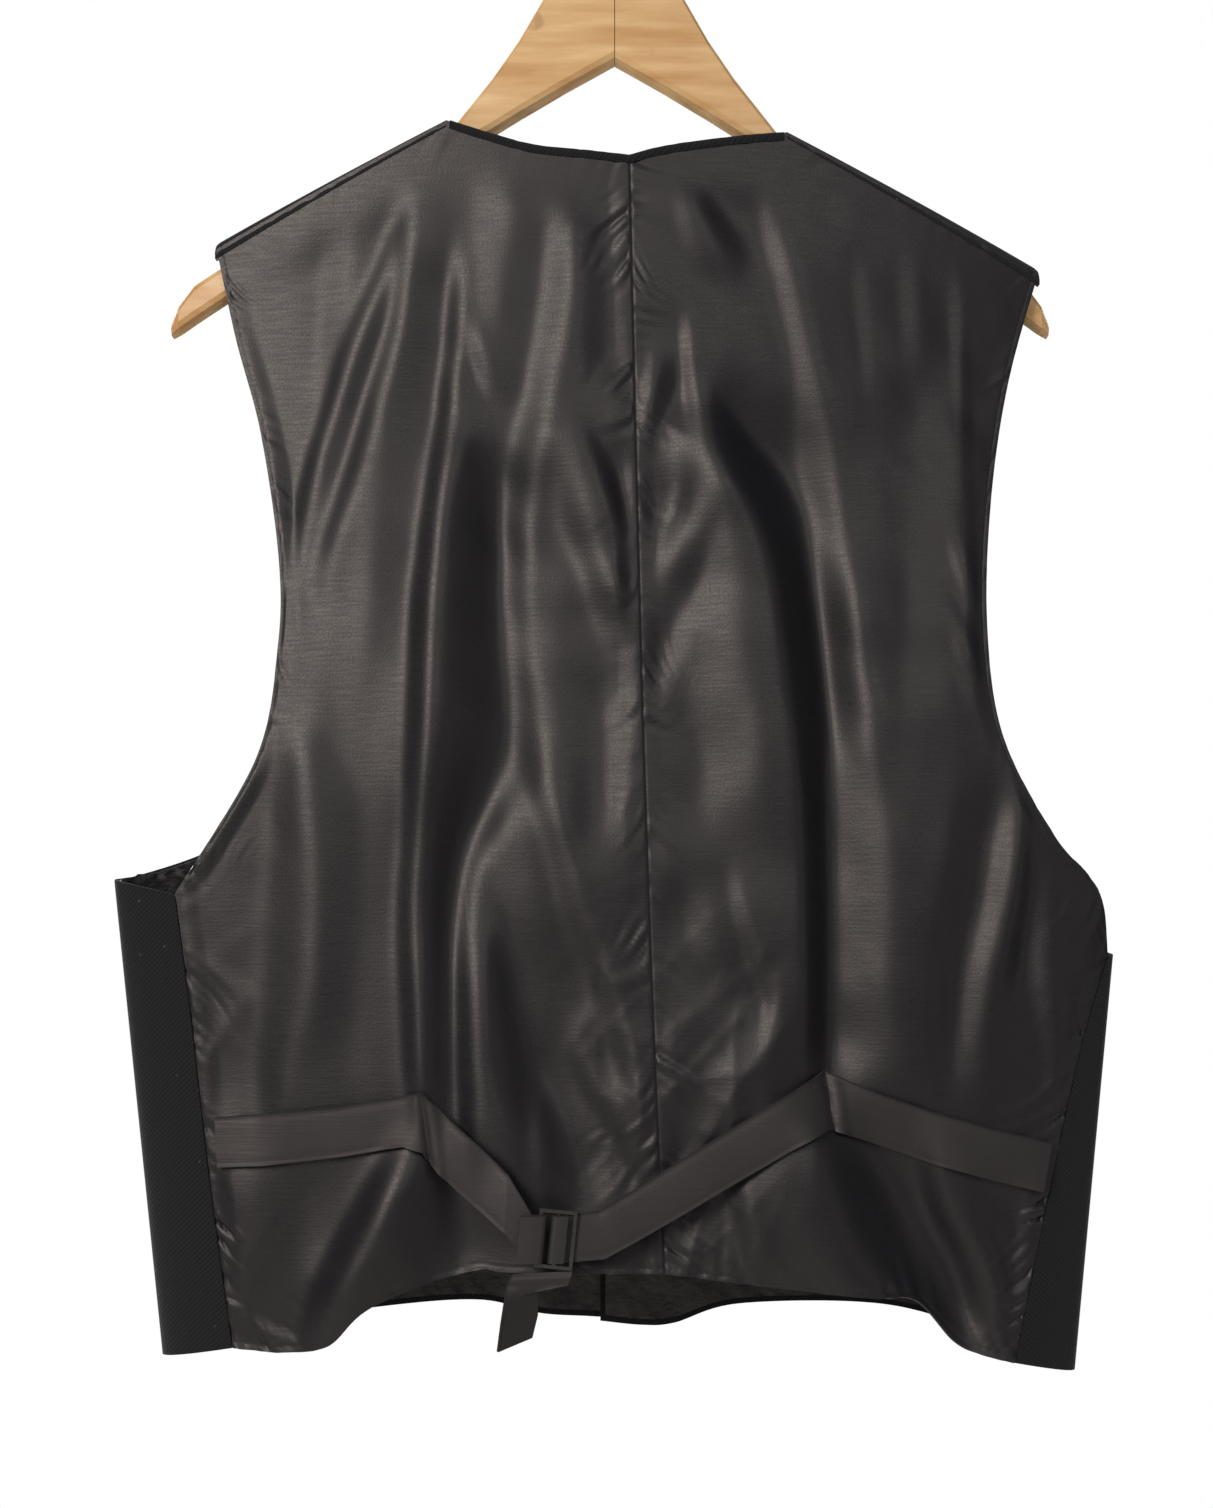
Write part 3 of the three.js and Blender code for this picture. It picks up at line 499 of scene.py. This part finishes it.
def satin_material(name, colours, rough, tint, crush):
    """Filament satin: smooth floats of yarn give a broad soft light, ribbed finely by the picks across."""
    material, tree = new_material(name)
    place = add(tree, "ShaderNodeTexCoord")
    uv = place.outputs["UV"]
    # the picks are 0.25 mm apart, drawn about 1.3 mm apart so that they show
    long_way = add(tree, "ShaderNodeMapping", Vector=uv, Scale=(60, 780, 1))
    weft = add(tree, "ShaderNodeTexNoise", {"noise_dimensions": "2D"}, Vector=long_way.outputs[0], Scale=1.0,
               Detail=2.0)
    grain = add(tree, "ShaderNodeTexNoise", {"noise_dimensions": "2D"}, Vector=uv, Scale=900.0, Detail=1.0)
    cloud = add(tree, "ShaderNodeTexNoise", Vector=place.outputs["Object"], Scale=24.0, Detail=3.0)
    weave = add(tree, "ShaderNodeMix", {"data_type": "FLOAT"}, i0=0.5, i2=weft.outputs[0], i3=grain.outputs[0])
    shade = add(tree, "ShaderNodeMix", {"data_type": "RGBA"}, i0=cloud.outputs[0])
    shade.inputs[6].default_value = linear(colours[0])
    shade.inputs[7].default_value = linear(colours[1])
    matt = add(tree, "ShaderNodeMapRange", i0=weave.outputs[0], i1=0.3, i2=0.7, i3=rough - 0.05,
               i4=rough + 0.06)
    # within about a millimetre of the first edge the cloth turns down into the sewn line, and loses its shine
    part = add(tree, "ShaderNodeSeparateXYZ", Vector=uv)
    sewn = add(tree, "ShaderNodeMapRange", i0=part.outputs[0], i1=0.0005, i2=0.0014, i3=1.0, i4=0.0)
    dull = add(tree, "ShaderNodeMath", {"operation": "MAXIMUM"}, i0=matt.outputs[0], i1=sewn.outputs[0])
    wrinkle = add(tree, "ShaderNodeTexNoise", Vector=place.outputs["Object"], Scale=85.0, Detail=3.0)
    fine = add(tree, "ShaderNodeBump", Strength=0.5, Distance=0.0002, Height=weave.outputs[0])
    soft = add(tree, "ShaderNodeBump", Strength=crush, Distance=0.002, Height=wrinkle.outputs[0],
               Normal=fine.outputs[0])
    body = add(tree, "ShaderNodeBsdfPrincipled", Base_Color=shade.outputs[2], Roughness=dull.outputs[0],
               Normal=soft.outputs[0])
    body.inputs["Specular IOR Level"].default_value = 0.6
    body.inputs["Specular Tint"].default_value = linear(tint)
    add(tree, "ShaderNodeOutputMaterial", Surface=body.outputs[0])
    return material


satin = satin_material("charcoal filament satin, woven", ("#111218", "#18171c"), 0.47, "#fff2ea", 0.05)


def back_grid(name, rows, columns):
    """Half of the back as x, y, z in mm: the patch in its outline, on the oval, less the rise of its folds,
    its crumples, the puckers of each sewn edge and the line of stitches."""
    outline = BACK[name]
    sign = -1 if name == "left" else 1
    underarm_share = 0.6
    u, v = crowded(columns, 0.7), crowded(rows, 0.55)
    corner, underarm = int(columns * 0.42), int(rows * underarm_share)
    neck = curve([(x, z - NECK_BINDING - 0.2) for x, z in outline["neck"]], u[:corner + 1] / u[corner])
    shoulder = curve([(x, z - SHOULDER_SEAM - 1.6) for x, z in outline["shoulder"]],
                     (u[corner:] - u[corner]) / (1 - u[corner]))
    neck[-1] = shoulder[0]
    armhole = curve(outline["armhole"], v[:underarm + 1] / v[underarm])
    armhole[0] = shoulder[-1]
    seam = curve([(x - sign * SEAM_GAP, z) for x, z in outline["seam"]],
                 (v[underarm:] - v[underarm]) / (1 - v[underarm]))
    centre = curve(CENTRE_BACK, v)
    centre[0, 1] = neck[0, 1]
    centre[:, 0] += sign * CENTRE_GAP / 2
    neck[0] = centre[0]
    hem = curve(outline["hem"], u)
    hem[0] = centre[-1]
    hem[-1] = seam[-1]
    flat = patch(joined(neck, shoulder), hem, centre, joined(armhole, seam), u, v)
    x, z = flat[..., 0], flat[..., 1]
    width = np.linalg.norm(flat[:, -1] - flat[:, 0], axis=1)[:, None]
    height = np.linalg.norm(flat[-1] - flat[0], axis=1)[None, :]
    u, v = u[None, :], v[:, None]
    from_side, from_centre = (1 - u) * width, u * width
    from_top, from_hem = v * height, (1 - v) * height
    below_arm = smooth(v, 0.58, 0.64)
    free = smooth(from_side, 2, 12) * smooth(from_top, 3, 40) * (0.35 + 0.65 * smooth(from_centre, 0, 10))
    rise = fold_rise(x, z) * free
    seed = 10 if sign < 0 else 30
    slack = np.exp(-((x - 30) / 48) ** 4) * smooth(-z, 520, 600)
    rise += free * slack * (2.6 * crumple(x, z, seed=5, size=46) + 1.0 * crumple(x, z, seed=6, size=24))
    unevenness = wander(x + 0.3 * z, seed + 12, count=8, shortest=18, longest=80)
    unevenness = unevenness * wander(z - x * 0.3, seed + 13, count=8, shortest=40, longest=220)
    rise += free * 0.5 * unevenness
    waist_side = np.exp(-(from_side / 38) ** 2) * below_arm * smooth(from_side, 2, 9)
    rise += 0.8 * crumple(x, z, seed + 14, size=34) * waist_side
    # the centre seam, the side seam in long and in short pleats, the armhole, the hem and the top
    seam_sunk, seam_wide = 0.35, 1.0
    rise += puckers(from_centre, z, seed, reach=11, height=0.7, spacing=9, slant=0.9)
    rise -= seam_sunk * np.exp(-(from_centre / seam_wide) ** 2)
    rise += puckers(from_side, z, seed + 3, reach=14, height=0.7, spacing=12, slant=0.9) * below_arm
    rise += puckers(from_side, z, seed + 8, reach=6, height=0.9, spacing=5, slant=0.6) * below_arm
    rise += puckers(from_side, z, seed + 20, reach=7, height=0.4, spacing=9, slant=0.8) * (1 - below_arm)
    rise += puckers(from_hem, x, seed + 6, reach=9, height=0.6, spacing=8)
    rise += puckers(from_top, x, seed + 9, reach=9, height=0.25, spacing=10)
    # the line of stitches runs inside the armhole and the hem, not down the side seam
    stitch_in, stitch_long, stitch_sunk, stitch_wide = 2.4, 2.6, 0.3, 0.6
    stitched = np.minimum(from_hem, np.where(v < underarm_share, from_side, np.inf))
    stitches = 0.6 + 0.4 * np.sin(2 * math.pi * (x + z) / stitch_long)
    rise -= stitch_sunk * stitches * np.exp(-((stitched - stitch_in) / stitch_wide) ** 2)
    return np.stack([x, plain_back(x, z) - rise, z], 2)


BACK_ROWS, BACK_COLUMNS = 300, 150
for name, area in (("left", 0.105), ("right", 0.101)):
    piece = cloth_mesh(f"satin_back_{name}", back_grid(name, BACK_ROWS, BACK_COLUMNS), SATIN_THICK, satin)
    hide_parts(f"back_{name}")

# ---------------------------------------------------------------- the wool fronts and their lining
# Black wool twill with a matt nap, rolled over the shoulders and round the sides, lined with a glossy black
# cloth that is gathered by the hem's stitching.

WOOL_THICK, LINING_THICK = 2.0, 0.7
LINING_OFF = 0.9
OVERLAP, OVERLAP_LIFT = 17, 3
SHOULDER_ROLL = (6, 10.5)
ARMHOLE_ROWS, SEAM_ROWS, FRONT_COLUMNS, WRAP, ROLL = 120, 74, 92, 14, 12
FRONT = {
    "left": {
        "neck": [(-82, -154), (-62, -215), (-22, -330), (27, -424)],
        "armhole": [(-197, -214), (-176, -290), (-152, -380), (-153, -440), (-172, -493), (-198, -513),
                    (-235, -527)],
        "hem": [(27, -742), (-10, -740), (-36, -738), (-67, -731), (-118, -734), (-170, -741), (-211, -747)],
    },
    "right": {
        "neck": [(84, -160), (66, -220), (32, -330), (-7, -424)],
        "armhole": [(210, -226), (190, -300), (164, -390), (168, -470), (192, -525), (216, -548),
                    (234, -562)],
        "hem": [(-7, -741), (13, -743), (29, -742), (60, -733), (130, -732), (180, -744), (213, -754)],
    },
}


def front_grid(name):
    """A front as x, y, z in mm, with a mask of its cells: the patch in its outline on the oval, a half round
    roll over the shoulder to the back, and below the armhole a strip round the side to the back's seam."""
    outline, side = FRONT[name], SIDE[name]
    sign = -1 if name == "left" else 1
    rows = ARMHOLE_ROWS + SEAM_ROWS
    shoulder = curve([(x, z - SHOULDER_SEAM - 1) for x, z in BACK[name]["shoulder"]], FRONT_COLUMNS)
    armhole = curve(outline["armhole"], ARMHOLE_ROWS)
    armhole[0] = shoulder[-1]
    fold_z = np.linspace(outline["armhole"][-1][1], outline["hem"][-1][1], SEAM_ROWS + 1)
    fold = np.stack([sign * (side[0] + side[2] * (fold_z - side[1])), fold_z], 1)
    armhole[-1] = fold[0]
    neck_rows = int(rows * 0.5)
    neck = curve(outline["neck"], neck_rows)
    neck[0] = shoulder[0]
    edge = curve([outline["neck"][-1], outline["hem"][0]], rows - neck_rows)
    hem = curve(outline["hem"], FRONT_COLUMNS)
    hem[0], hem[-1] = edge[-1], fold[-1]
    flat = patch(shoulder, hem, joined(neck, edge), joined(armhole, fold))
    x, z = flat[..., 0], flat[..., 1]
    near = 1 - smooth(np.abs(x - CLOSING_X), OVERLAP + 8, OVERLAP + 40)
    y = plain_front(x, z) - sign * OVERLAP_LIFT * near
    main = np.stack([x, y, z], 2)
    seam = curve(BACK[name]["seam"], SEAM_ROWS)
    turn = 1 - np.cos(np.linspace(0, math.pi / 2, WRAP + 1))[None, 1:, None]
    strip = fold[:, None] * (1 - turn) + seam[:, None] * turn
    strip = np.stack([strip[..., 0], plain_back(strip[..., 0], strip[..., 1]), strip[..., 1]], 2)
    filler = np.repeat(strip[:1], ARMHOLE_ROWS, 0)
    body = np.concatenate([main, np.concatenate([filler, strip])], 1)
    angle = (np.linspace(0, math.pi, ROLL + 1)[:-1])[:, None]
    top = body[0]
    back_y = plain_back(top[:, 0], top[:, 2])
    roll_y = back_y + (top[:, 1] - back_y) * (1 - np.cos(angle)) / 2
    height = np.interp(np.arange(len(top)), [0, FRONT_COLUMNS], SHOULDER_ROLL)
    over = np.stack([np.broadcast_to(top[:, 0], roll_y.shape), roll_y, top[:, 2] + height * np.sin(angle)], 2)
    grid = np.concatenate([over, body])
    cells = np.ones((grid.shape[0] - 1, grid.shape[1] - 1), bool)
    cells[:ROLL + ARMHOLE_ROWS, FRONT_COLUMNS:] = False
    return grid, cells


def wool_material():
    """Wool twill: matt, a little fuzzy, with fine diagonal wales and a few pale lint specks."""
    material, tree = new_material("black wool twill, fulled")
    place = add(tree, "ShaderNodeTexCoord")
    # wales 0.8 mm apart, drawn at 1.6 mm so that they show
    turned = add(tree, "ShaderNodeMapping", Vector=place.outputs["UV"], Rotation=(0, 0, math.radians(52)))
    wales = add(tree, "ShaderNodeTexWave", {"wave_type": "BANDS"}, Vector=turned.outputs[0], Scale=195.0,
                Distortion=2.2, Detail=2.0, Detail_Scale=2.0)
    fuzz = add(tree, "ShaderNodeTexNoise", Vector=place.outputs["Object"], Scale=900.0, Detail=3.0)
    lint = add(tree, "ShaderNodeTexVoronoi", Vector=place.outputs["Object"], Scale=75.0)
    speck = add(tree, "ShaderNodeMapRange", i0=lint.outputs["Distance"], i1=0.02, i2=0.055, i3=1.0, i4=0.0)
    shade = add(tree, "ShaderNodeMix", {"data_type": "RGBA"}, i0=wales.outputs[0])
    shade.inputs[6].default_value = linear("#121113")
    shade.inputs[7].default_value = linear("#1f1d1f")
    linted = add(tree, "ShaderNodeMix", {"data_type": "RGBA"}, i0=speck.outputs[0], i6=shade.outputs[2])
    linted.inputs[7].default_value = linear("#4c494c")
    height = add(tree, "ShaderNodeMath", {"operation": "MULTIPLY_ADD"}, i0=fuzz.outputs[0], i1=0.5,
                 i2=wales.outputs[0])
    bump = add(tree, "ShaderNodeBump", Strength=0.3, Distance=0.0006, Height=height.outputs[0])
    body = add(tree, "ShaderNodeBsdfPrincipled", Base_Color=linted.outputs[2], Roughness=0.92,
               Normal=bump.outputs[0])
    body.inputs["Specular IOR Level"].default_value = 0.25
    body.inputs["Sheen Weight"].default_value = 0.08
    body.inputs["Sheen Roughness"].default_value = 0.6
    add(tree, "ShaderNodeOutputMaterial", Surface=body.outputs[0])
    return material


wool = wool_material()
lining_cloth = satin_material("black lining taffeta, woven", ("#0f1014", "#17161a"), 0.42, "#fff4f0", 0.6)
FRONT_SIZE = {"left": ((0.29, 0.6), 0.122), "right": ((0.27, 0.6), 0.112)}

for name in ("left", "right"):
    grid, cells = front_grid(name)
    piece = cloth_mesh(f"wool_front_{name}", grid, WOOL_THICK, wool, cells=cells)
    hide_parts(f"front_{name}")
    size, area = FRONT_SIZE[name]

    # the lining lies inside the wool from under the roll down, and stops a cell short of the hem and edge
    grid, cells = grid[ROLL:], cells[ROLL:]
    normal = surface_normal(grid)
    inward = np.sign((normal * np.array([1, 1, 0]) * -grid).sum(2, keepdims=True))
    x, z = grid[..., 0], grid[..., 2]
    row_apart = 2.8
    hem_away = (np.arange(len(grid))[::-1] * row_apart)[:, None] + 0 * x
    crush = puckers(hem_away, x, seed=71, reach=26, height=0.5, spacing=6)
    crush = crush + 0.35 * wander(x * 0.7 + z, seed=72, shortest=6, longest=40)
    grid = grid + normal * inward * (WOOL_THICK / 2 + LINING_OFF + np.maximum(crush, -0.5) * 0.8)[..., None]
    cells[-1:, :] = False
    cells[:, :1] = False
    piece = cloth_mesh(f"front_lining_{name}", grid, LINING_THICK, lining_cloth, cells=cells)
    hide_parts(f"lining_{name}")

# ---------------------------------------------------------------- the bound edge of the back neck
# A narrow strip of the wool, folded over the satin's raw edge at the back of the neck and topstitched
# along both halves, so that its face swells between its two edges.

BINDING_THICK = 1.9
line = joined(curve(BACK["left"]["neck"], 60)[::-1], curve(BACK["right"]["neck"], 60))
drops = np.array([0.3, 1.2, 2.3, NECK_BINDING])
swell = np.array([0.1, 0.9, 0.9, 0.2])
x = np.repeat(line[None, :, 0], len(drops), 0)
z = line[None, :, 1] - drops[:, None]
y = plain_back(x, z) - swell[:, None] * (1 + 0.25 * wander(x, seed=5, count=8, shortest=4, longest=20))
piece = cloth_mesh("neck_binding_strip", np.stack([x, y, z], 2), BINDING_THICK, wool)
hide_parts("neck_binding")

# ---------------------------------------------------------------- buttons
# Four plain black buttons with a rim, pressed from urea plastic and polished by tumbling. They are sewn
# close to the closed fronts' outer face.


def plain_material(name, colour, rough, metal=0.0, grain=0.02, scale=300.0):
    """A smooth hard finish of one colour, whose gloss and level waver finely, as pressed, plated or dried."""
    material, tree = new_material(name)
    place = add(tree, "ShaderNodeTexCoord")
    noise = add(tree, "ShaderNodeTexNoise", Vector=place.outputs["Object"], Scale=scale, Detail=4.0)
    ramp = add(tree, "ShaderNodeMapRange", i0=noise.outputs[0], i1=0.3, i2=0.7, i3=rough * 0.85,
               i4=rough * 1.2)
    bump = add(tree, "ShaderNodeBump", Strength=grain, Distance=0.0005, Height=noise.outputs[0])
    body = add(tree, "ShaderNodeBsdfPrincipled", Base_Color=linear(colour), Roughness=ramp.outputs[0],
               Metallic=metal, Normal=bump.outputs[0])
    add(tree, "ShaderNodeOutputMaterial", Surface=body.outputs[0])
    return material


def finish_node(name, material):
    """The CAD's own piece with this finish in place of its plain one."""
    mesh = bpy.data.objects[name].data
    mesh.materials.clear()
    mesh.materials.append(material)


button_plastic = plain_material("black urea plastic, pressed", "#18171b", 0.35)
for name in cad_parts:
    if name.startswith("button"):
        finish_node(name, button_plastic)

# ---------------------------------------------------------------- the waist belt
# Two straps of the satin, made double and pressed flat. Each is sewn into a side seam, tacked to the back
# where it bends, and meets the other in a slide buckle; the free end hangs half turned.

STRAP_THICK, STRAP_WIDE = 1.4, 23
# from the side seam to the buckle: the upper edge's x and z, the lower edge's, and how far off the back
BELT_LEFT = [
    (-184, -636.5, -182, -659, 3.0), (-161, -634.5, -161, -658, 3.0), (-126, -631, -125, -653.5, 3.0),
    (-97, -626, -96, -648.5, 3.2), (-88, -624, -87, -651, 4), (-76, -635, -79, -661, 6),
    (-62, -647, -65, -673, 8.5), (-48, -660, -49, -686, 10.4),
]
BELT_RIGHT = [
    (201, -648.5, 196, -670.5, 3.0), (172, -641.5, 170, -664, 3.0), (146, -634, 145, -657, 3.0),
    (121, -625.5, 120, -648.5, 3.2), (96, -615, 97, -641, 4), (70, -629.5, 79, -650, 7),
    (32, -652, 42, -671, 9), (6, -668, 14, -687, 9.6), (-8, -676, -5, -697, 9.6),
]
BUCKLE = {"x": -26.5, "z": -688, "width": 17, "height": 26, "bar": 1.6, "thick": 1.5, "tilt": 0.1,
          "proud": 12}
ACROSS = crowded(16, 0.6)
PLACE_APART = 26
PLACE_ROWS = 16
STITCH_IN = 1.8


def strap_rows(places, between):
    """Rows across a strap, evenly blended between its places, as x, z and the fifth column's value."""
    places = np.array(places, float)
    station = np.linspace(0, len(places) - 1, (len(places) - 1) * between + 1)
    value = np.stack([np.interp(station, np.arange(len(places)), places[:, k]) for k in range(5)], 1)
    x = value[:, 0:1] * (1 - ACROSS) + value[:, 2:3] * ACROSS
    z = value[:, 1:2] * (1 - ACROSS) + value[:, 3:4] * ACROSS
    return station, x, z, value[:, 4:5]


def belt_grid(places, seed):
    """The strap at its stated distance off the back, whose folds it follows only where that is small. A slow
    wave and a crown stand out from it, its two lines of stitches sink in, and a pleat crosses its bend."""
    station, x, z, off = strap_rows(places, PLACE_ROWS)
    off = off + 0 * x
    held = 1 - smooth(off, 4, 9)
    y = plain_back(x, z) - fold_rise(x, z) * held - off
    run = (station * PLACE_APART)[:, None]
    slack = 0.4 + 0.6 * smooth(off, 4, 7)
    wave = 0.9 * wander(run + 9 * ACROSS, seed, count=7, shortest=25, longest=90)
    y = y - slack * (wave + 0.5 * np.sin(math.pi * ACROSS))
    edge = np.minimum(ACROSS, 1 - ACROSS)[None] * STRAP_WIDE
    y = y + 0.3 * np.exp(-((edge - STITCH_IN) / 0.7) ** 2)
    bend_x, bend_z = max(places, key=lambda place: place[1])[:2]
    across_bend = (x - bend_x) * 0.9 + (z - bend_z) * 0.12
    y = y + 2.0 * np.exp(-(across_bend / 1.6) ** 2) - 0.8 * np.exp(-((across_bend - 4) / 2) ** 2)
    return np.stack([x, y, z], 2)


buckle_y = float(plain_back(np.array(BUCKLE["x"]), np.array(BUCKLE["z"]))) - BUCKLE["proud"]


def around_bar(sign, bar_x, end):
    """The strap's end: in behind a bar, in a half circle round it, and back over its front to end mm past
    it. Across the strap it leans with the buckle's tilt."""
    bar_room, slot_room, behind, into_slot, end_lift = 0.3, 0.9, 4, 0.5, 0.3
    clear = BUCKLE["thick"] / 2 + bar_room + STRAP_THICK / 2
    angle = np.linspace(0, math.pi, 13)
    px = np.r_[bar_x + sign * behind, bar_x - sign * (into_slot + clear * np.sin(angle)),
               bar_x + sign * end * 0.5, bar_x + sign * end]
    py = np.r_[buckle_y + clear, buckle_y + clear * np.cos(angle), buckle_y - clear,
               buckle_y - clear + end_lift]
    half = BUCKLE["height"] / 2 - BUCKLE["bar"] - slot_room
    lift = half * (1 - 2 * ACROSS)
    x = px[:, None] + lift[None] * math.tan(BUCKLE["tilt"])
    z = BUCKLE["z"] + lift[None] + 0 * x
    return np.stack([x, py[:, None] + 0 * x, z], 2)


outer_bar = BUCKLE["x"] - (BUCKLE["width"] - BUCKLE["bar"]) / 2
strap_satin = satin_material("black belt satin, pressed", ("#211f22", "#2e2b2d"), 0.56, "#fff0e8", 0.06)
for name, places, turn, size in (
    ("left", BELT_LEFT, around_bar(-1, outer_bar, 9), (0.022, 0.178)),
    ("right", BELT_RIGHT, around_bar(1, BUCKLE["x"], 4.5), (0.022, 0.256)),
):
    grid = np.concatenate([belt_grid(places, 40 + len(places)), turn])
    piece = cloth_mesh(f"waist_belt_{name}", grid, STRAP_THICK, strap_satin)
    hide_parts(f"belt_{name}")

# the free end below the buckle: its left edge's x and z, its right edge's, and how far it is turned
TAIL = [(-46, -703.5, -19, -702, 0), (-48.5, -708, -21, -707.5, 1), (-49, -714, -35, -711, 5),
        (-50.5, -724, -35, -722, 6), (-52, -736, -37.5, -732, 6)]
TAIL_ROWS = 12
PLEAT_Z, PLEAT_HIGH, PLEAT_WIDE = -705.5, 1.6, 2.2
_, x, z, turned = strap_rows(TAIL, TAIL_ROWS)
y = buckle_y + turned * (2 * ACROSS - 1) - PLEAT_HIGH * np.exp(-((z - PLEAT_Z) / PLEAT_WIDE) ** 2)
piece = cloth_mesh("waist_belt_tail", np.stack([x, y, z], 2), STRAP_THICK, strap_satin)
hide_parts("belt_tail")

nickel = plain_material("darkened nickel plate, stamped", "#6c6966", 0.32, metal=1.0, grain=0.05, scale=700.0)
finish_node("buckle", nickel)

# ---------------------------------------------------------------- the hanger
# Two bent halves of pale beech, mitred and glued at the middle, sanded and varnished, a little knocked. A
# nickel plated wire hook is screwed into the top.

finish_node("hook", nickel)


def wood_material():
    """Varnished beech: honey ground, fine streaks along the arm, small dark flecks and a few dings."""
    material, tree = new_material("beech, bent, sanded and varnished")
    place = add(tree, "ShaderNodeTexCoord")
    along = add(tree, "ShaderNodeMapping", Vector=place.outputs["Object"], Rotation=(0, math.radians(-30), 0),
                Scale=(14, 90, 120))
    streak = add(tree, "ShaderNodeTexNoise", Vector=along.outputs[0], Scale=1.0, Detail=5.0)
    cloud = add(tree, "ShaderNodeTexNoise", Vector=place.outputs["Object"], Scale=38.0, Detail=3.0)
    ramp = add(tree, "ShaderNodeValToRGB", Fac=streak.outputs[0])
    ramp.color_ramp.elements[0].position, ramp.color_ramp.elements[0].color = 0.32, linear("#cf9a5e")
    ramp.color_ramp.elements[1].position, ramp.color_ramp.elements[1].color = 0.68, linear("#efc68e")
    ding = add(tree, "ShaderNodeMapRange", i0=cloud.outputs[0], i1=0.64, i2=0.7, i3=0.0, i4=0.45)
    marked = add(tree, "ShaderNodeMix", {"data_type": "RGBA"}, i0=ding.outputs[0], i6=ramp.outputs[0])
    marked.inputs[7].default_value = linear("#a2703c")
    bump = add(tree, "ShaderNodeBump", Strength=0.12, Distance=0.0006, Height=streak.outputs[0])
    body = add(tree, "ShaderNodeBsdfPrincipled", Base_Color=marked.outputs[2], Roughness=0.42,
               Normal=bump.outputs[0])
    add(tree, "ShaderNodeOutputMaterial", Surface=body.outputs[0])
    return material


beech = wood_material()
for name in ("hanger_left", "hanger_right"):
    finish_node(name, beech)

# the line of old glue that fills the mitre, a hair inside the arms' end faces
GLUE_HALF, GLUE_MIDDLE_Z = 0.15, -94.5
GLUE_CORNER = [(6.8, 26.4), (5.7, 29.2), (2.9, 30.3)]


def glue_mesh(name):
    """A thin plate: one rounded corner mirrored to four makes its outline in y and z, which stands at both
    faces' x, with a wall between. Its normals are turned out at the end."""
    corner = np.array(GLUE_CORNER)
    outline = np.concatenate([corner, corner[::-1] * (-1, 1), -corner, corner[::-1] * (1, -1)])
    outline = outline + (0, GLUE_MIDDLE_Z)
    faces = [np.insert(outline, 0, x, axis=1) for x in (-GLUE_HALF, GLUE_HALF)]
    near = np.arange(len(outline))
    far = near + len(outline)
    walls = np.stack([near, np.roll(near, -1), np.roll(far, -1), far], 1)
    mesh = bpy.data.meshes.new(name)
    mesh.from_pydata((np.concatenate(faces) * MM).tolist(), [],
                     [near.tolist(), far.tolist()] + walls.tolist())
    work = bmesh.new()
    work.from_mesh(mesh)
    bmesh.ops.recalc_face_normals(work, faces=work.faces)
    work.to_mesh(mesh)
    work.free()
    return mesh


mesh = glue_mesh("mitre_glue_line")
mesh.materials.append(plain_material("hide glue, dried dark in the joint", "#4a3220", 0.6))
glue = bpy.data.objects.new("mitre_glue_line", mesh)
bpy.context.collection.objects.link(glue)
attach(glue, "root")
